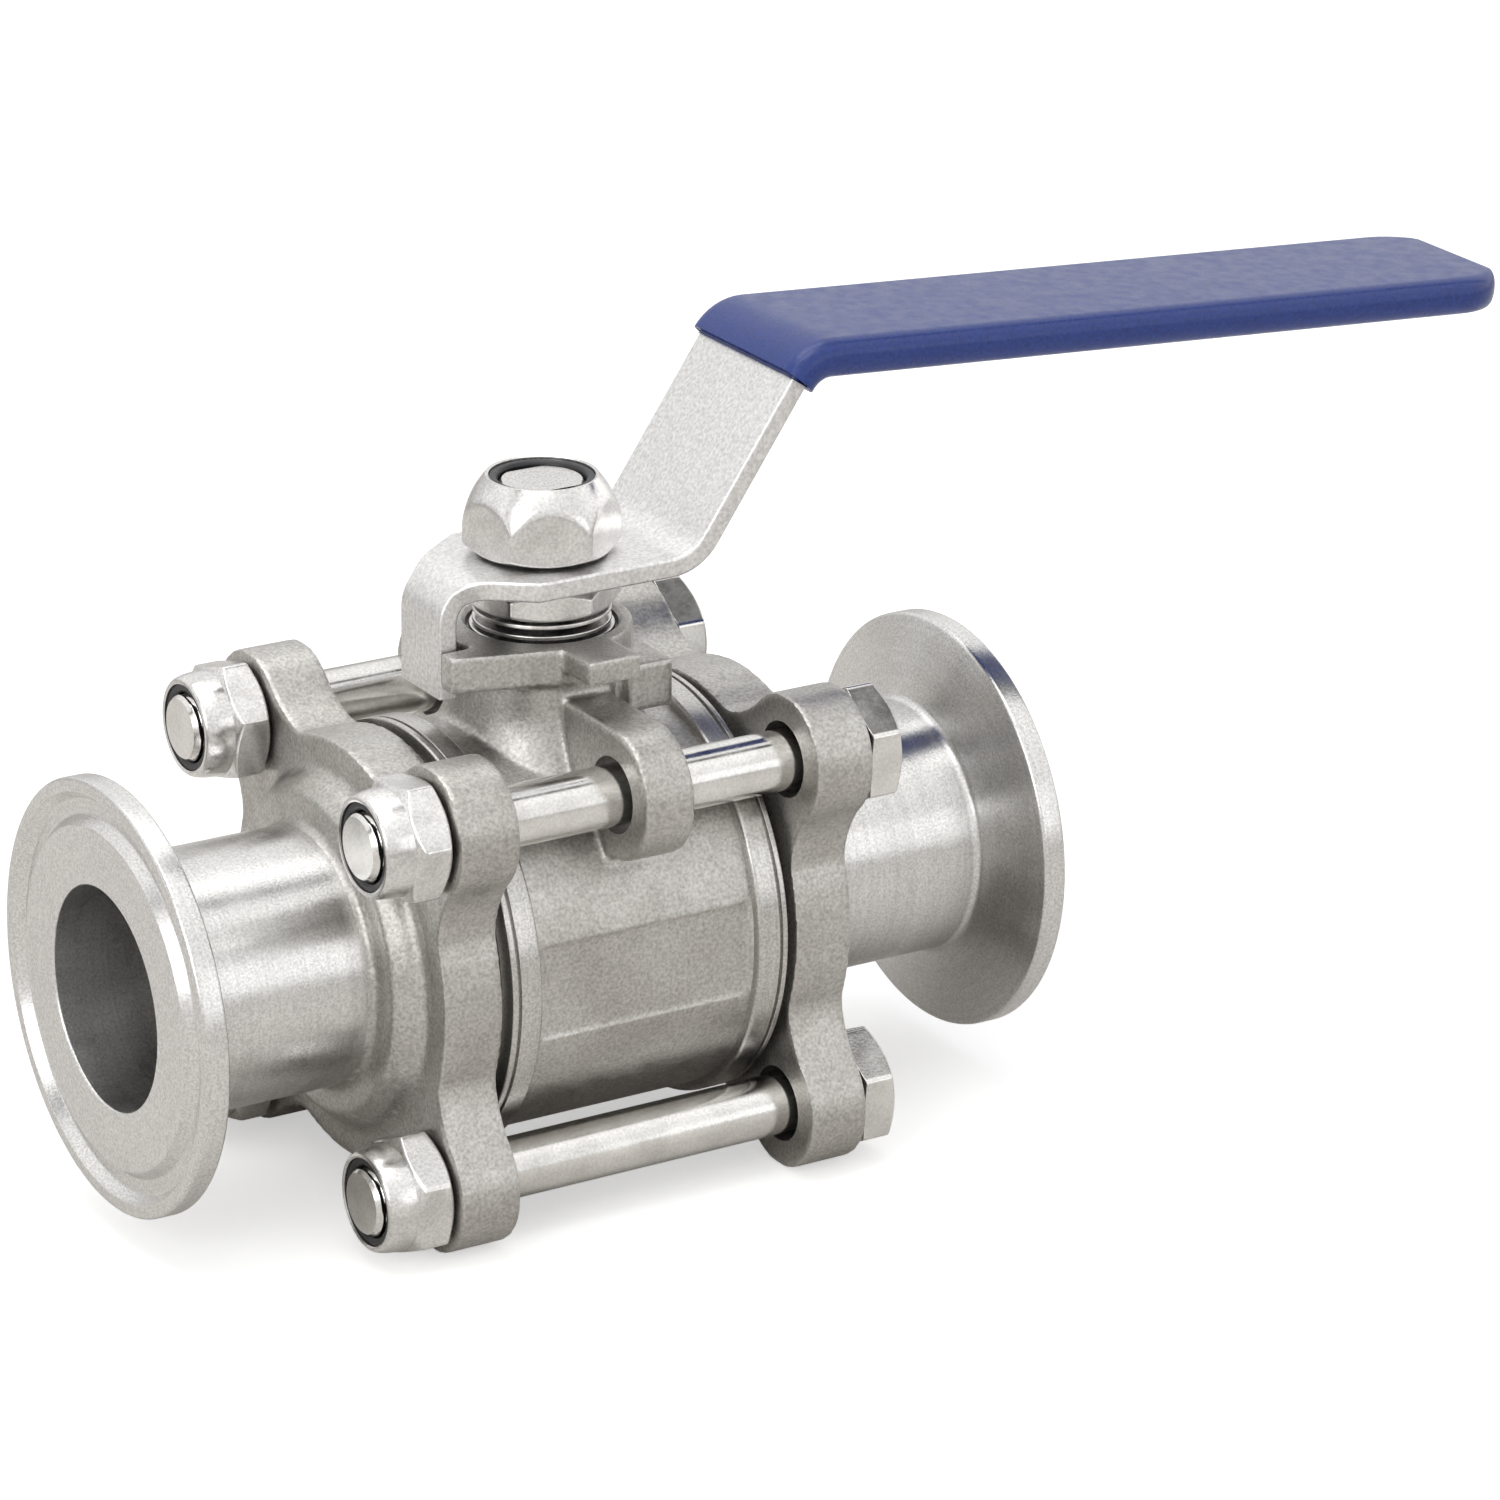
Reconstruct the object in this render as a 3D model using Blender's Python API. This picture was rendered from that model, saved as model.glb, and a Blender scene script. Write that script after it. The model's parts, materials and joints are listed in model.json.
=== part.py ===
"""Bolted stainless ball valve with clamp ferrules, built piece by piece.

The pipe runs along X and the stem along Z. Both cross at the centre of the ball, where
the empties valve_frame and stem_axis stand. They lift the valve so that the lower ears
of its end caps touch z = 0. All sizes are in metres.
"""

import math

import bmesh
import bpy
from mathutils import Matrix, Vector

# Pipe run
FACE_TO_FACE = 0.113
PIPE_BORE = 0.026
TUBE_WALL = 0.0022
FERRULE_OD = 0.0505
FERRULE_RIM = 0.00285
FERRULE_CONE = 0.0028
FERRULE_NECK = 0.0010
GROOVE_INSET = 0.0035
GROOVE_WIDTH = 0.0038
GROOVE_FLOOR = 0.0018
GROOVE_DEPTH = 0.0013

# Ball and soft seats
PORT_STEP = 0.0005
BALL_WALL = 0.0065
SLOT_WALL = 0.0017
CAVITY_CLEARANCE = 0.0006
SEAT_STEP = 0.0017
SEAT_FACE = 0.0025
SEAL_THICKNESS = 0.0012
SEAL_WIDTH = 0.0020

# Cast body
RIM_WALL = 0.0030
RIM_STEP = 0.0011
RIM_LENGTH = 0.0039
RIM_GROOVE_INSET = 0.0011
RIM_GROOVE_WIDTH = 0.0004
RIM_GROOVE_DEPTH = 0.0006
SEAM = 0.0012
PANEL_MARGIN = 0.0002
PANEL_HEIGHT = 0.0115

# Cast end caps
CAP_THICKNESS = 0.0075
CAP_STEP = 0.0002
CAP_EDGE = 0.0016
SPIGOT_LENGTH = 0.0029
HUB_FOOT_INSET = 0.0025
HUB_FILLET = 0.0015
HUB_STEP = 0.0049
HUB_HEIGHT = 0.0033
HUB_EDGE = 0.0015
HUB_ROOT = 0.0010

# Ears of the four tie bolts, which stand in a square
BOLT_CLEARANCE = 0.001064
BOLT_PLAY = 0.0005
EAR_RADIUS = 0.0077
CAP_EAR_FILLET = 0.0060
BODY_EAR_FILLET = 0.0015
BODY_EAR_WIDTH = 0.0064
BODY_EAR_EDGE = 0.0008

# Stem
STEM_RADIUS = 0.0055
THREAD_STEP = 0.0005
COLLAR_STEP = 0.0020
STEM_COLLAR_HEIGHT = 0.0027
THRUST_WASHER_HEIGHT = 0.0012
TONGUE_THICKNESS = 0.0060
TONGUE_LENGTH = 0.0144
STEM_FLATS = 0.0080
STEM_SINK = 0.0007
STEM_LEAD = 0.0008

# Packing chamber and gland
CHAMBER_WALL = 0.0027
PACKING_WIDTH = 0.0015
PACKING_HEIGHT = 0.00265
PACKING_RIDGE = 0.0006
GLAND_LENGTH = 0.0016
GLAND_LEDGE = 0.0012
GLAND_PLAY = 0.0004
GLAND_FLANGE_THICKNESS = 0.0007

# Tower: stop pad, locking lug, shoulder and neck
PAD_PROUD = 0.0004
PAD_THICKNESS = 0.0044
PAD_SIDE = 0.0104
PAD_FRONT = 0.0107
PAD_PLAY = 0.0008
STOP_PROUD = 0.0001
STOP_WIDTH = 0.0027
STOP_CORNER = 0.0009
LUG_WIDTH = 0.0068
LUG_REACH = 0.0166
LUG_THICKNESS = 0.0027
SHOULDER_DROP = 0.0032
SHOULDER_HEIGHT = 0.0057
SHOULDER_START = 0.0046
SHOULDER_LENGTH = 0.0059
SHOULDER_FRONT = 0.0118
NECK_ROOT = 0.0024
NECK_FOOT_LENGTH = 0.0270
NECK_FOOT_WIDTH = 0.0300
NECK_STRAIGHT = 0.0035
NECK_WALL = 0.0027
NECK_FLAT = 0.0015
NECK_FLARE = 1.8
NECK_RINGS = 5

# Springs and nuts on the stem
SPRING_THICKNESS = 0.0005
SPRING_CONE = 0.0003
SPRING_RADIUS = 0.0080
STEM_NUT_ACROSS = 0.0160
GLAND_NUT_HEIGHT = 0.0036
STEM_NUT_HEIGHT = 0.0089
STEM_NUT_RECESS = 0.0061
STEM_NUT_TURN = math.radians(-22.4)

# Lever, one bent plate, and its dipped sleeve
PLATE_THICKNESS = 0.0023
LEVER_WIDTH = 0.0205
TAB_WIDTH = 0.0092
TAB_MIDDLE = 0.01475
TAB_OVERHANG = 0.0014
TAB_BEND = 0.0043
TAPER_START = 0.0061
ARM_FOOT = 0.01455
ARM_BEND = 0.0060
ARM_ANGLE = math.radians(55.6)
ELBOW_PLACE = 0.02954
ELBOW_BEND = 0.0050
GRIP_DROP = math.radians(3.87)
GRIP_TIP = 0.1305
SLEEVE_WALL = 0.0012
SLEEVE_END_WALL = 0.0013
SLEEVE_START = 0.0030
SLEEVE_EDGE = 0.0018
SLEEVE_CORNER = 0.0075

# Tie bolts and their lock nuts
THREAD_RADIUS = 0.0040
SHANK_STEP = 0.00045
THREAD_LENGTH = 0.0151
BOLT_ACROSS = 0.0130
BOLT_HEAD_HEIGHT = 0.0045
TIE_NUT_HEIGHT = 0.0080
TIE_NUT_RECESS = 0.0051
BOLT_OVERHANG = 0.0005
TIE_HEAD_TURN = math.radians(34.0)
TIE_NUT_TURNS = {
    "front_lower": math.radians(36.0),
    "back_lower": math.radians(50.0),
    "front_upper": math.radians(53.4),
    "back_upper": math.radians(44.4),
}

# Shape of hexagon nuts and heads
NUT_CHAMFER = math.radians(30.0)
NUT_BASE_SHARE = 0.95
NUT_COLLAR_SHARE = 0.96
CROWN_START_SHARE = 0.52
RECESS_START_SHARE = 0.68
CROWN_RIM = 0.0004

# Fits
GAP = 0.0003
CLOSE_GAP = 0.0002
CHAMFER = 0.0005
OVERCUT = 0.0010

# Facets round a full turn
FINE = 32
MEDIUM = 24
COARSE = 16
BEND_FACETS = 36
EDGE_FACETS = 8
SHARP_ANGLE = math.radians(35.0)

# Finishes: colour, metallic, roughness
CAST_STEEL = ((0.62, 0.60, 0.57), 1.0, 0.42)
TURNED_STEEL = ((0.74, 0.73, 0.72), 1.0, 0.22)
BRIGHT_STEEL = ((0.80, 0.79, 0.78), 1.0, 0.15)
PLATE_STEEL = ((0.70, 0.70, 0.69), 1.0, 0.34)
BLUE_VINYL = ((0.035, 0.060, 0.330), 0.0, 0.32)
SEAT_WHITE = ((0.85, 0.85, 0.82), 0.0, 0.45)
NYLON_BLACK = ((0.015, 0.015, 0.018), 0.0, 0.40)

# Radii that follow from the bore and the ball
HALF_RUN = FACE_TO_FACE / 2
BORE_RADIUS = PIPE_BORE / 2
TUBE_RADIUS = BORE_RADIUS + TUBE_WALL
FERRULE_RADIUS = FERRULE_OD / 2
PORT_RADIUS = BORE_RADIUS - PORT_STEP
BALL_RADIUS = PORT_RADIUS + BALL_WALL
CAVITY_RADIUS = BALL_RADIUS + CAVITY_CLEARANCE
SEAT_RADIUS = CAVITY_RADIUS - SEAT_STEP
SEAT_CONTACT = BORE_RADIUS + SEAT_FACE
POCKET_RADIUS = SEAT_RADIUS + GAP
SPIGOT_RADIUS = CAVITY_RADIUS + GAP + SEAL_WIDTH
BODY_RIM_RADIUS = SPIGOT_RADIUS + GAP + RIM_WALL
BODY_RADIUS = BODY_RIM_RADIUS - RIM_STEP
CAP_RADIUS = BODY_RIM_RADIUS - CAP_STEP
HUB_RADIUS = TUBE_RADIUS + HUB_STEP
HUB_FOOT_RADIUS = CAP_RADIUS - HUB_FOOT_INSET
BOLT_CIRCLE = BODY_RIM_RADIUS + THREAD_RADIUS + BOLT_CLEARANCE
BOLT_REACH = BOLT_CIRCLE / math.sqrt(2.0)
EAR_HOLE_RADIUS = THREAD_RADIUS + BOLT_PLAY
EAR_TOP = BOLT_REACH + EAR_RADIUS
SHANK_RADIUS = THREAD_RADIUS - SHANK_STEP

# Places along the pipe
CAP_FACE = BALL_RADIUS + GAP
CAP_OUTER = CAP_FACE + CAP_THICKNESS
SPIGOT_FACE = CAP_FACE - SPIGOT_LENGTH
SEAL_FLOOR = SPIGOT_FACE - SEAL_THICKNESS - 2 * GAP
BODY_END = CAP_FACE - SEAM
BODY_RIM_START = BODY_END - RIM_LENGTH
RIM_GROOVE_PLACE = BODY_END - RIM_GROOVE_INSET
PANEL_REACH = BODY_RIM_START - PANEL_MARGIN
HEAD_SEAT = CAP_OUTER + GAP
BOLT_END = HEAD_SEAT + TIE_NUT_HEIGHT + BOLT_OVERHANG

# Radii round the stem
STEM_THREAD_RADIUS = STEM_RADIUS - THREAD_STEP
STEM_COLLAR_RADIUS = STEM_RADIUS + COLLAR_STEP
STEM_HOLE = STEM_RADIUS + GAP
THREAD_HOLE = STEM_THREAD_RADIUS + GAP
PACKING_OUTER = STEM_HOLE + PACKING_WIDTH
CHAMBER_RADIUS = PACKING_OUTER + GAP
GLAND_RIM_RADIUS = CHAMBER_RADIUS + GLAND_LEDGE
GLAND_FLANGE = GLAND_RIM_RADIUS - GLAND_PLAY

# Heights up the stem, from the ball to the top
SLOT_FLOOR = PORT_RADIUS + SLOT_WALL
COLLAR_BOTTOM = BALL_RADIUS + GAP
COLLAR_TOP = COLLAR_BOTTOM + STEM_COLLAR_HEIGHT
WASHER_BOTTOM = COLLAR_TOP + GAP
WASHER_TOP = WASHER_BOTTOM + THRUST_WASHER_HEIGHT
NECK_BORE_FLOOR = WASHER_TOP + GAP
CHAMBER_FLOOR = NECK_BORE_FLOOR + CHAMBER_WALL
PACKING_BOTTOM = CHAMBER_FLOOR + GAP
PACKING_JOINT = PACKING_BOTTOM + PACKING_HEIGHT
PACKING_TOP = PACKING_JOINT + GAP + PACKING_HEIGHT
GLAND_SEAT = PACKING_TOP + GLAND_LENGTH
GLAND_RING_TOP = GLAND_SEAT + GAP + GLAND_FLANGE_THICKNESS
SPRING_LOWER_TOP = GLAND_RING_TOP + GAP + SPRING_THICKNESS + SPRING_CONE
SPRING_UPPER_TOP = SPRING_LOWER_TOP + CLOSE_GAP + SPRING_THICKNESS + SPRING_CONE
GLAND_NUT_BOTTOM = SPRING_UPPER_TOP + CLOSE_GAP
GLAND_NUT_TOP = GLAND_NUT_BOTTOM + GLAND_NUT_HEIGHT
LEVER_FOOT_BOTTOM = GLAND_NUT_TOP + GAP
LEVER_FOOT_TOP = LEVER_FOOT_BOTTOM + PLATE_THICKNESS
STEM_NUT_BOTTOM = LEVER_FOOT_TOP + GAP
STEM_TOP = STEM_NUT_BOTTOM + STEM_NUT_HEIGHT - STEM_SINK

# Tower and lever
PAD_TOP = GLAND_RING_TOP + PAD_PROUD
PAD_BOTTOM = PAD_TOP - PAD_THICKNESS
SHOULDER_TOP = PAD_TOP - SHOULDER_DROP
SHOULDER_BOTTOM = SHOULDER_TOP - SHOULDER_HEIGHT
SHOULDER_END = SHOULDER_START + SHOULDER_LENGTH
NECK_FOOT = CAVITY_RADIUS - NECK_ROOT
NECK_WAIST = PAD_BOTTOM - NECK_STRAIGHT
NECK_WAIST_SIZE = 2 * (CHAMBER_RADIUS + NECK_WALL)
NECK_CORNER = NECK_WAIST_SIZE / 2 - NECK_FLAT
TAB_BOTTOM = PAD_BOTTOM - TAB_OVERHANG
TAB_SIDE = TAB_WIDTH / 2
TAB_INSIDE = TAB_MIDDLE - PLATE_THICKNESS / 2
TAB_OUTSIDE = TAB_MIDDLE + PLATE_THICKNESS / 2
PAD_BACK = TAB_INSIDE - PAD_PLAY
STOP_REACH = TAB_OUTSIDE + STOP_PROUD
STEEL_TIP = GRIP_TIP - SLEEVE_END_WALL
MIDDLE_X = (GRIP_TIP - HALF_RUN) / 2
QUARTER = math.pi / 2
EIGHTH = math.pi / 4


def clear_scene():
    for leftover in list(bpy.data.objects):
        bpy.data.objects.remove(leftover, do_unlink=True)


def empty(name, location, parent=None):
    """Marker that carries pieces."""
    marker = bpy.data.objects.new(name, None)
    marker.empty_display_size = CHAMFER
    marker.location = location
    marker.parent = parent
    bpy.context.scene.collection.objects.link(marker)
    return marker


def material(name, finish):
    colour, metallic, roughness = finish
    made = bpy.data.materials.new(name)
    made.use_nodes = True
    shader = made.node_tree.nodes["Principled BSDF"]
    shader.inputs["Base Color"].default_value = (*colour, 1.0)
    shader.inputs["Metallic"].default_value = metallic
    shader.inputs["Roughness"].default_value = roughness
    return made


def link(name, mesh, parent=None):
    made = bpy.data.objects.new(name, mesh)
    made.parent = parent
    bpy.context.scene.collection.objects.link(made)
    return made


def piece(name, mesh, finish, parent, location=(0.0, 0.0, 0.0), turn=0.0):
    """Put a copy of a finished mesh in the scene as one named piece, turned about X."""
    own = mesh.copy()
    own.name = name
    own.materials.clear()
    own.materials.append(material(f"{name}_finish", finish))
    own.shade_smooth()
    own.set_sharp_from_angle(angle=SHARP_ANGLE)
    made = link(name, own, parent)
    made.location = location
    made.rotation_euler.x = turn


def to_mesh(name, form):
    """Turn a bmesh into a welded mesh with its faces outward."""
    bmesh.ops.remove_doubles(form, verts=form.verts, dist=1e-6)
    bmesh.ops.recalc_face_normals(form, faces=form.faces)
    mesh = bpy.data.meshes.new(name)
    form.to_mesh(mesh)
    form.free()
    return mesh


def turned(name, profile, steps, axis="X", centre=(0.0, 0.0, 0.0)):
    """Revolve a closed profile of (place along the axis, radius) points."""
    if axis == "X":
        along, outward = Vector((1, 0, 0)), Vector((0, 0, 1))
    else:
        along, outward = Vector((0, 0, 1)), Vector((1, 0, 0))
    form = bmesh.new()
    rings = []
    for step in range(steps):
        spoke = Matrix.Rotation(math.tau * step / steps, 3, along) @ outward
        rings.append([
            form.verts.new(Vector(centre) + along * place + spoke * radius) for place, radius in profile
        ])
    count = len(profile)
    for step in range(steps):
        here, there = rings[step], rings[(step + 1) % steps]
        for i in range(count):
            j = (i + 1) % count
            flat_ends = (profile[i][1] == 0.0, profile[j][1] == 0.0)
            if flat_ends == (True, True):
                continue
            corners = [here[i], here[j], there[j], there[i]]
            if flat_ends[0]:
                corners = [here[i], here[j], there[j]]
            if flat_ends[1]:
                corners = [here[i], here[j], there[i]]
            form.faces.new(corners)
    return to_mesh(name, form)


def extruded(name, outline, axis, low, high, low_edge=0.0, high_edge=0.0):
    """Push a closed outline along X, Y or Z, with its two rims bevelled if asked."""
    places = {
        "X": lambda a, b, h: (h, a, b),
        "Y": lambda a, b, h: (a, h, b),
        "Z": lambda a, b, h: (a, b, h),
    }
    place = places[axis]
    form = bmesh.new()
    bottom = [form.verts.new(place(a, b, low)) for a, b in outline]
    top = [form.verts.new(place(a, b, high)) for a, b in outline]
    count = len(outline)
    form.faces.new(list(reversed(bottom)))
    form.faces.new(top)
    for i in range(count):
        j = (i + 1) % count
        form.faces.new((bottom[i], bottom[j], top[j], top[i]))
    for ring, edge in ((bottom, low_edge), (top, high_edge)):
        if edge > 0.0:
            rim = [e for e in form.edges if e.verts[0] in ring and e.verts[1] in ring]
            bmesh.ops.bevel(form, geom=rim, offset=edge, segments=2, profile=0.5, affect="EDGES")
    return to_mesh(name, form)


def box(name, low, high):
    """Plain block between two corners."""
    outline = [(low[0], low[1]), (high[0], low[1]), (high[0], high[1]), (low[0], high[1])]
    return extruded(name, outline, "Z", low[2], high[2])


def drill(name, radius, low, high, steps, axis="X", centre=(0.0, 0.0, 0.0)):
    """Plain cylinder that cuts a hole."""
    return turned(name, [(low, 0.0), (low, radius), (high, radius), (high, 0.0)], steps, axis, centre)


def arc(centre, radius, first, last, facets=COARSE):
    """Points on an arc from one angle to another, both ends in, at so many facets a turn."""
    steps = math.ceil(abs(last - first) / math.tau * facets)
    angles = [first + (last - first) * i / steps for i in range(steps + 1)]
    return [(centre[0] + radius * math.cos(a), centre[1] + radius * math.sin(a)) for a in angles]


def combine(name, base, joined=(), cut=(), kept=()):
    """Join, cut and keep the common part, baked into one mesh."""
    worked = link(name, base)
    helpers = []
    for operation, meshes in (("UNION", joined), ("DIFFERENCE", cut), ("INTERSECT", kept)):
        for mesh in meshes:
            helper = link(f"{name}_tool_{len(helpers)}", mesh)
            helper.hide_render = True
            helper.display_type = "WIRE"
            step = worked.modifiers.new(operation.lower(), "BOOLEAN")
            step.operation = operation
            step.solver = "EXACT"
            step.object = helper
            helpers.append(helper)
    graph = bpy.context.evaluated_depsgraph_get()
    baked = bpy.data.meshes.new_from_object(worked.evaluated_get(graph))
    for used in [*helpers, worked]:
        bpy.data.objects.remove(used, do_unlink=True)
    form = bmesh.new()
    form.from_mesh(baked)
    return to_mesh(name, form)


def mirrored(name, mesh):
    """Copy of a mesh, mirrored through the plane X = 0."""
    form = bmesh.new()
    form.from_mesh(mesh)
    bmesh.ops.scale(form, vec=Vector((-1, 1, 1)), verts=form.verts)
    bmesh.ops.reverse_faces(form, faces=form.faces)
    return to_mesh(name, form)


def bolt_places():
    """Names and centres of the four tie bolts in the YZ plane."""
    sides = (("front", -BOLT_REACH), ("back", BOLT_REACH))
    levels = (("lower", -BOLT_REACH), ("upper", BOLT_REACH))
    return [(f"{side}_{level}", y, z) for level, z in levels for side, y in sides]


def ear_blend(core, fillet):
    """Where a fillet between a round core and an ear on the diagonal has its centre."""
    away = core + fillet
    to_ear = EAR_RADIUS + fillet
    spread = math.acos((away ** 2 + BOLT_CIRCLE ** 2 - to_ear ** 2) / (2 * away * BOLT_CIRCLE))
    at = EIGHTH - spread
    centre = (away * math.cos(at), away * math.sin(at))
    towards_ear = math.atan2(BOLT_REACH - centre[1], BOLT_REACH - centre[0])
    return at, centre, towards_ear


def cap_outline():
    """Round flange with four ears, seen along the pipe."""
    at, centre, towards_ear = ear_blend(CAP_RADIUS, CAP_EAR_FILLET)
    ear = (BOLT_REACH, BOLT_REACH)
    leave = towards_ear - math.pi
    quarter = [
        *arc((0.0, 0.0), CAP_RADIUS, 0.0, at, FINE)[:-1],
        *arc(centre, CAP_EAR_FILLET, at + math.pi, towards_ear, MEDIUM),
        *arc(ear, EAR_RADIUS, leave, 0.0)[1:],
        *arc(ear, EAR_RADIUS, 0.0, EIGHTH, MEDIUM)[1:],
    ]
    octant_back = [(b, a) for a, b in reversed(quarter)]
    first = [*quarter, *octant_back[1:-1]]
    outline = []
    for number in range(4):
        spin = Matrix.Rotation(QUARTER * number, 2)
        outline += [tuple(spin @ Vector(point)) for point in first]
    return outline


def run_profile():
    """Spigot, hub, tube and clamp ferrule of the right end cap, still solid."""
    groove_middle = FERRULE_RADIUS - GROOVE_INSET
    rim_back = HALF_RUN - FERRULE_RIM
    cone_end = rim_back - FERRULE_CONE
    inside_flange = CAP_OUTER - CAP_EDGE
    hub_face = CAP_OUTER + HUB_HEIGHT
    edge_middle = (hub_face - HUB_EDGE, HUB_RADIUS - HUB_EDGE)
    root_middle = (hub_face + HUB_ROOT, TUBE_RADIUS + HUB_ROOT)
    hub = [
        *arc((CAP_OUTER + HUB_FILLET, HUB_FOOT_RADIUS), HUB_FILLET, math.pi, 3 * QUARTER, EDGE_FACETS),
        *arc(edge_middle, HUB_EDGE, QUARTER, 0.0, EDGE_FACETS),
        *arc(root_middle, HUB_ROOT, math.pi, 3 * QUARTER, EDGE_FACETS),
    ]
    neck_radius = TUBE_RADIUS + FERRULE_NECK / 2
    return [
        (SPIGOT_FACE, 0.0),
        (SPIGOT_FACE, SPIGOT_RADIUS - CHAMFER),
        (SPIGOT_FACE + CHAMFER, SPIGOT_RADIUS),
        (inside_flange, SPIGOT_RADIUS),
        (inside_flange, HUB_FOOT_RADIUS),
        *hub,
        (cone_end - FERRULE_NECK, TUBE_RADIUS),
        (cone_end - FERRULE_NECK / 4, neck_radius - FERRULE_NECK / 4),
        (cone_end + FERRULE_NECK / 4, neck_radius + FERRULE_NECK),
        (rim_back, FERRULE_RADIUS - CHAMFER),
        (rim_back + CHAMFER, FERRULE_RADIUS),
        (HALF_RUN - CHAMFER, FERRULE_RADIUS),
        (HALF_RUN, FERRULE_RADIUS - CHAMFER),
        (HALF_RUN, groove_middle + GROOVE_WIDTH / 2),
        (HALF_RUN - GROOVE_DEPTH, groove_middle + GROOVE_FLOOR / 2),
        (HALF_RUN - GROOVE_DEPTH, groove_middle - GROOVE_FLOOR / 2),
        (HALF_RUN, groove_middle - GROOVE_WIDTH / 2),
        (HALF_RUN, 0.0),
    ]


def end_cap_mesh():
    """Right end cap: eared flange, hub, tube and clamp ferrule in one piece."""
    flange = extruded("flange", cap_outline(), "X", CAP_FACE, CAP_OUTER, CHAMFER, CAP_EDGE)
    run = turned("run", run_profile(), FINE)
    waterway = turned("waterway", [
        (SPIGOT_FACE - OVERCUT, 0.0),
        (SPIGOT_FACE - OVERCUT, POCKET_RADIUS),
        (CAP_FACE, POCKET_RADIUS),
        (CAP_FACE, BORE_RADIUS),
        (HALF_RUN - GAP, BORE_RADIUS),
        (HALF_RUN + OVERCUT, BORE_RADIUS + GAP + OVERCUT),
        (HALF_RUN + OVERCUT, 0.0),
    ], FINE)
    holes = [
        drill("hole", EAR_HOLE_RADIUS, CAP_FACE - OVERCUT, CAP_OUTER + OVERCUT, COARSE, "X", (0.0, y, z))
        for _, y, z in bolt_places()
    ]
    return combine("end_cap", flange, joined=[run], cut=[waterway, *holes])


def web_outline():
    """Web across the top of the body that ends in the two upper ears."""
    at, centre, towards_ear = ear_blend(BODY_RADIUS, BODY_EAR_FILLET)
    ear = (BOLT_REACH, BOLT_REACH)
    back = [
        (CAVITY_RADIUS * math.cos(at), CAVITY_RADIUS * math.sin(at)),
        *arc(centre, BODY_EAR_FILLET, at + math.pi, towards_ear),
        *arc(ear, EAR_RADIUS, towards_ear - math.pi, 0.0)[1:],
        *arc(ear, EAR_RADIUS, 0.0, QUARTER, MEDIUM)[1:],
    ]
    return [*back, *[(-y, z) for y, z in reversed(back)]]


def barrel_profile():
    """Outside of the body: cast middle between two turned rims, each with a fine groove."""
    groove_end = RIM_GROOVE_PLACE + RIM_GROOVE_WIDTH
    half = [
        (BODY_RIM_START, BODY_RADIUS),
        (BODY_RIM_START, BODY_RIM_RADIUS - CHAMFER),
        (BODY_RIM_START + CHAMFER, BODY_RIM_RADIUS),
        (RIM_GROOVE_PLACE, BODY_RIM_RADIUS),
        (RIM_GROOVE_PLACE, BODY_RIM_RADIUS - RIM_GROOVE_DEPTH),
        (groove_end, BODY_RIM_RADIUS - RIM_GROOVE_DEPTH),
        (groove_end, BODY_RIM_RADIUS),
        (BODY_END - GAP, BODY_RIM_RADIUS),
        (BODY_END, BODY_RIM_RADIUS - GAP),
        (BODY_END, 0.0),
    ]
    return [*half, *[(-x, r) for x, r in reversed(half)]]


def rounded_rectangle(length, width, corner, facets=COARSE):
    """Outline centred on zero, with round corners."""
    a = length / 2 - corner
    b = width / 2 - corner
    points = []
    for number, (x, y) in enumerate(((a, b), (-a, b), (-a, -b), (a, -b))):
        points += arc((x, y), corner, QUARTER * number, QUARTER * (number + 1), facets)
    return points


def skinned(name, rings):
    """Skin closed rings of equal count and cap both ends."""
    form = bmesh.new()
    made = [[form.verts.new(point) for point in ring] for ring in rings]
    count = len(made[0])
    for lower, upper in zip(made, made[1:]):
        for i in range(count):
            j = (i + 1) % count
            form.faces.new((lower[i], lower[j], upper[j], upper[i]))
    form.faces.new(list(reversed(made[0])))
    form.faces.new(made[-1])
    return to_mesh(name, form)


def neck_mesh():
    """Neck that flares from its waist down into the body."""
    rings = []
    for number in range(NECK_RINGS + 1):
        share = number / NECK_RINGS
        height = NECK_FOOT + (NECK_WAIST - NECK_FOOT) * share
        flare = (1.0 - share) ** NECK_FLARE
        length = NECK_WAIST_SIZE + (NECK_FOOT_LENGTH - NECK_WAIST_SIZE) * flare
        width = NECK_WAIST_SIZE + (NECK_FOOT_WIDTH - NECK_WAIST_SIZE) * flare
        outline = rounded_rectangle(length, width, NECK_CORNER)
        rings.append([(x, y, height) for x, y in outline])
    top = (PAD_BOTTOM + PAD_TOP) / 2
    outline = rounded_rectangle(NECK_WAIST_SIZE, NECK_WAIST_SIZE, NECK_CORNER)
    rings.append([(x, y, top) for x, y in outline])
    return skinned("neck", rings)


def pad_outline():
    """Plan of the stop pad: round, flat in front, with two lobes that stop the lever."""
    near = TAB_SIDE + GAP
    far = near + STOP_WIDTH
    tip = STOP_REACH - STOP_CORNER
    lean = math.asin(near / PAD_BACK)
    half_lug = LUG_WIDTH / 2
    side_end = QUARTER - math.asin(far / PAD_SIDE)
    side_start = -math.acos(half_lug / PAD_SIDE)
    return [
        *arc((0.0, 0.0), PAD_SIDE, side_start, side_end),
        (far, tip),
        (far - STOP_CORNER, STOP_REACH),
        (near, STOP_REACH),
        *arc((0.0, 0.0), PAD_BACK, QUARTER - lean, math.pi + lean, MEDIUM),
        (-STOP_REACH, -near),
        (-STOP_REACH, STOP_CORNER - far),
        (-tip, -far),
        (-half_lug, -PAD_FRONT),
    ]


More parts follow.
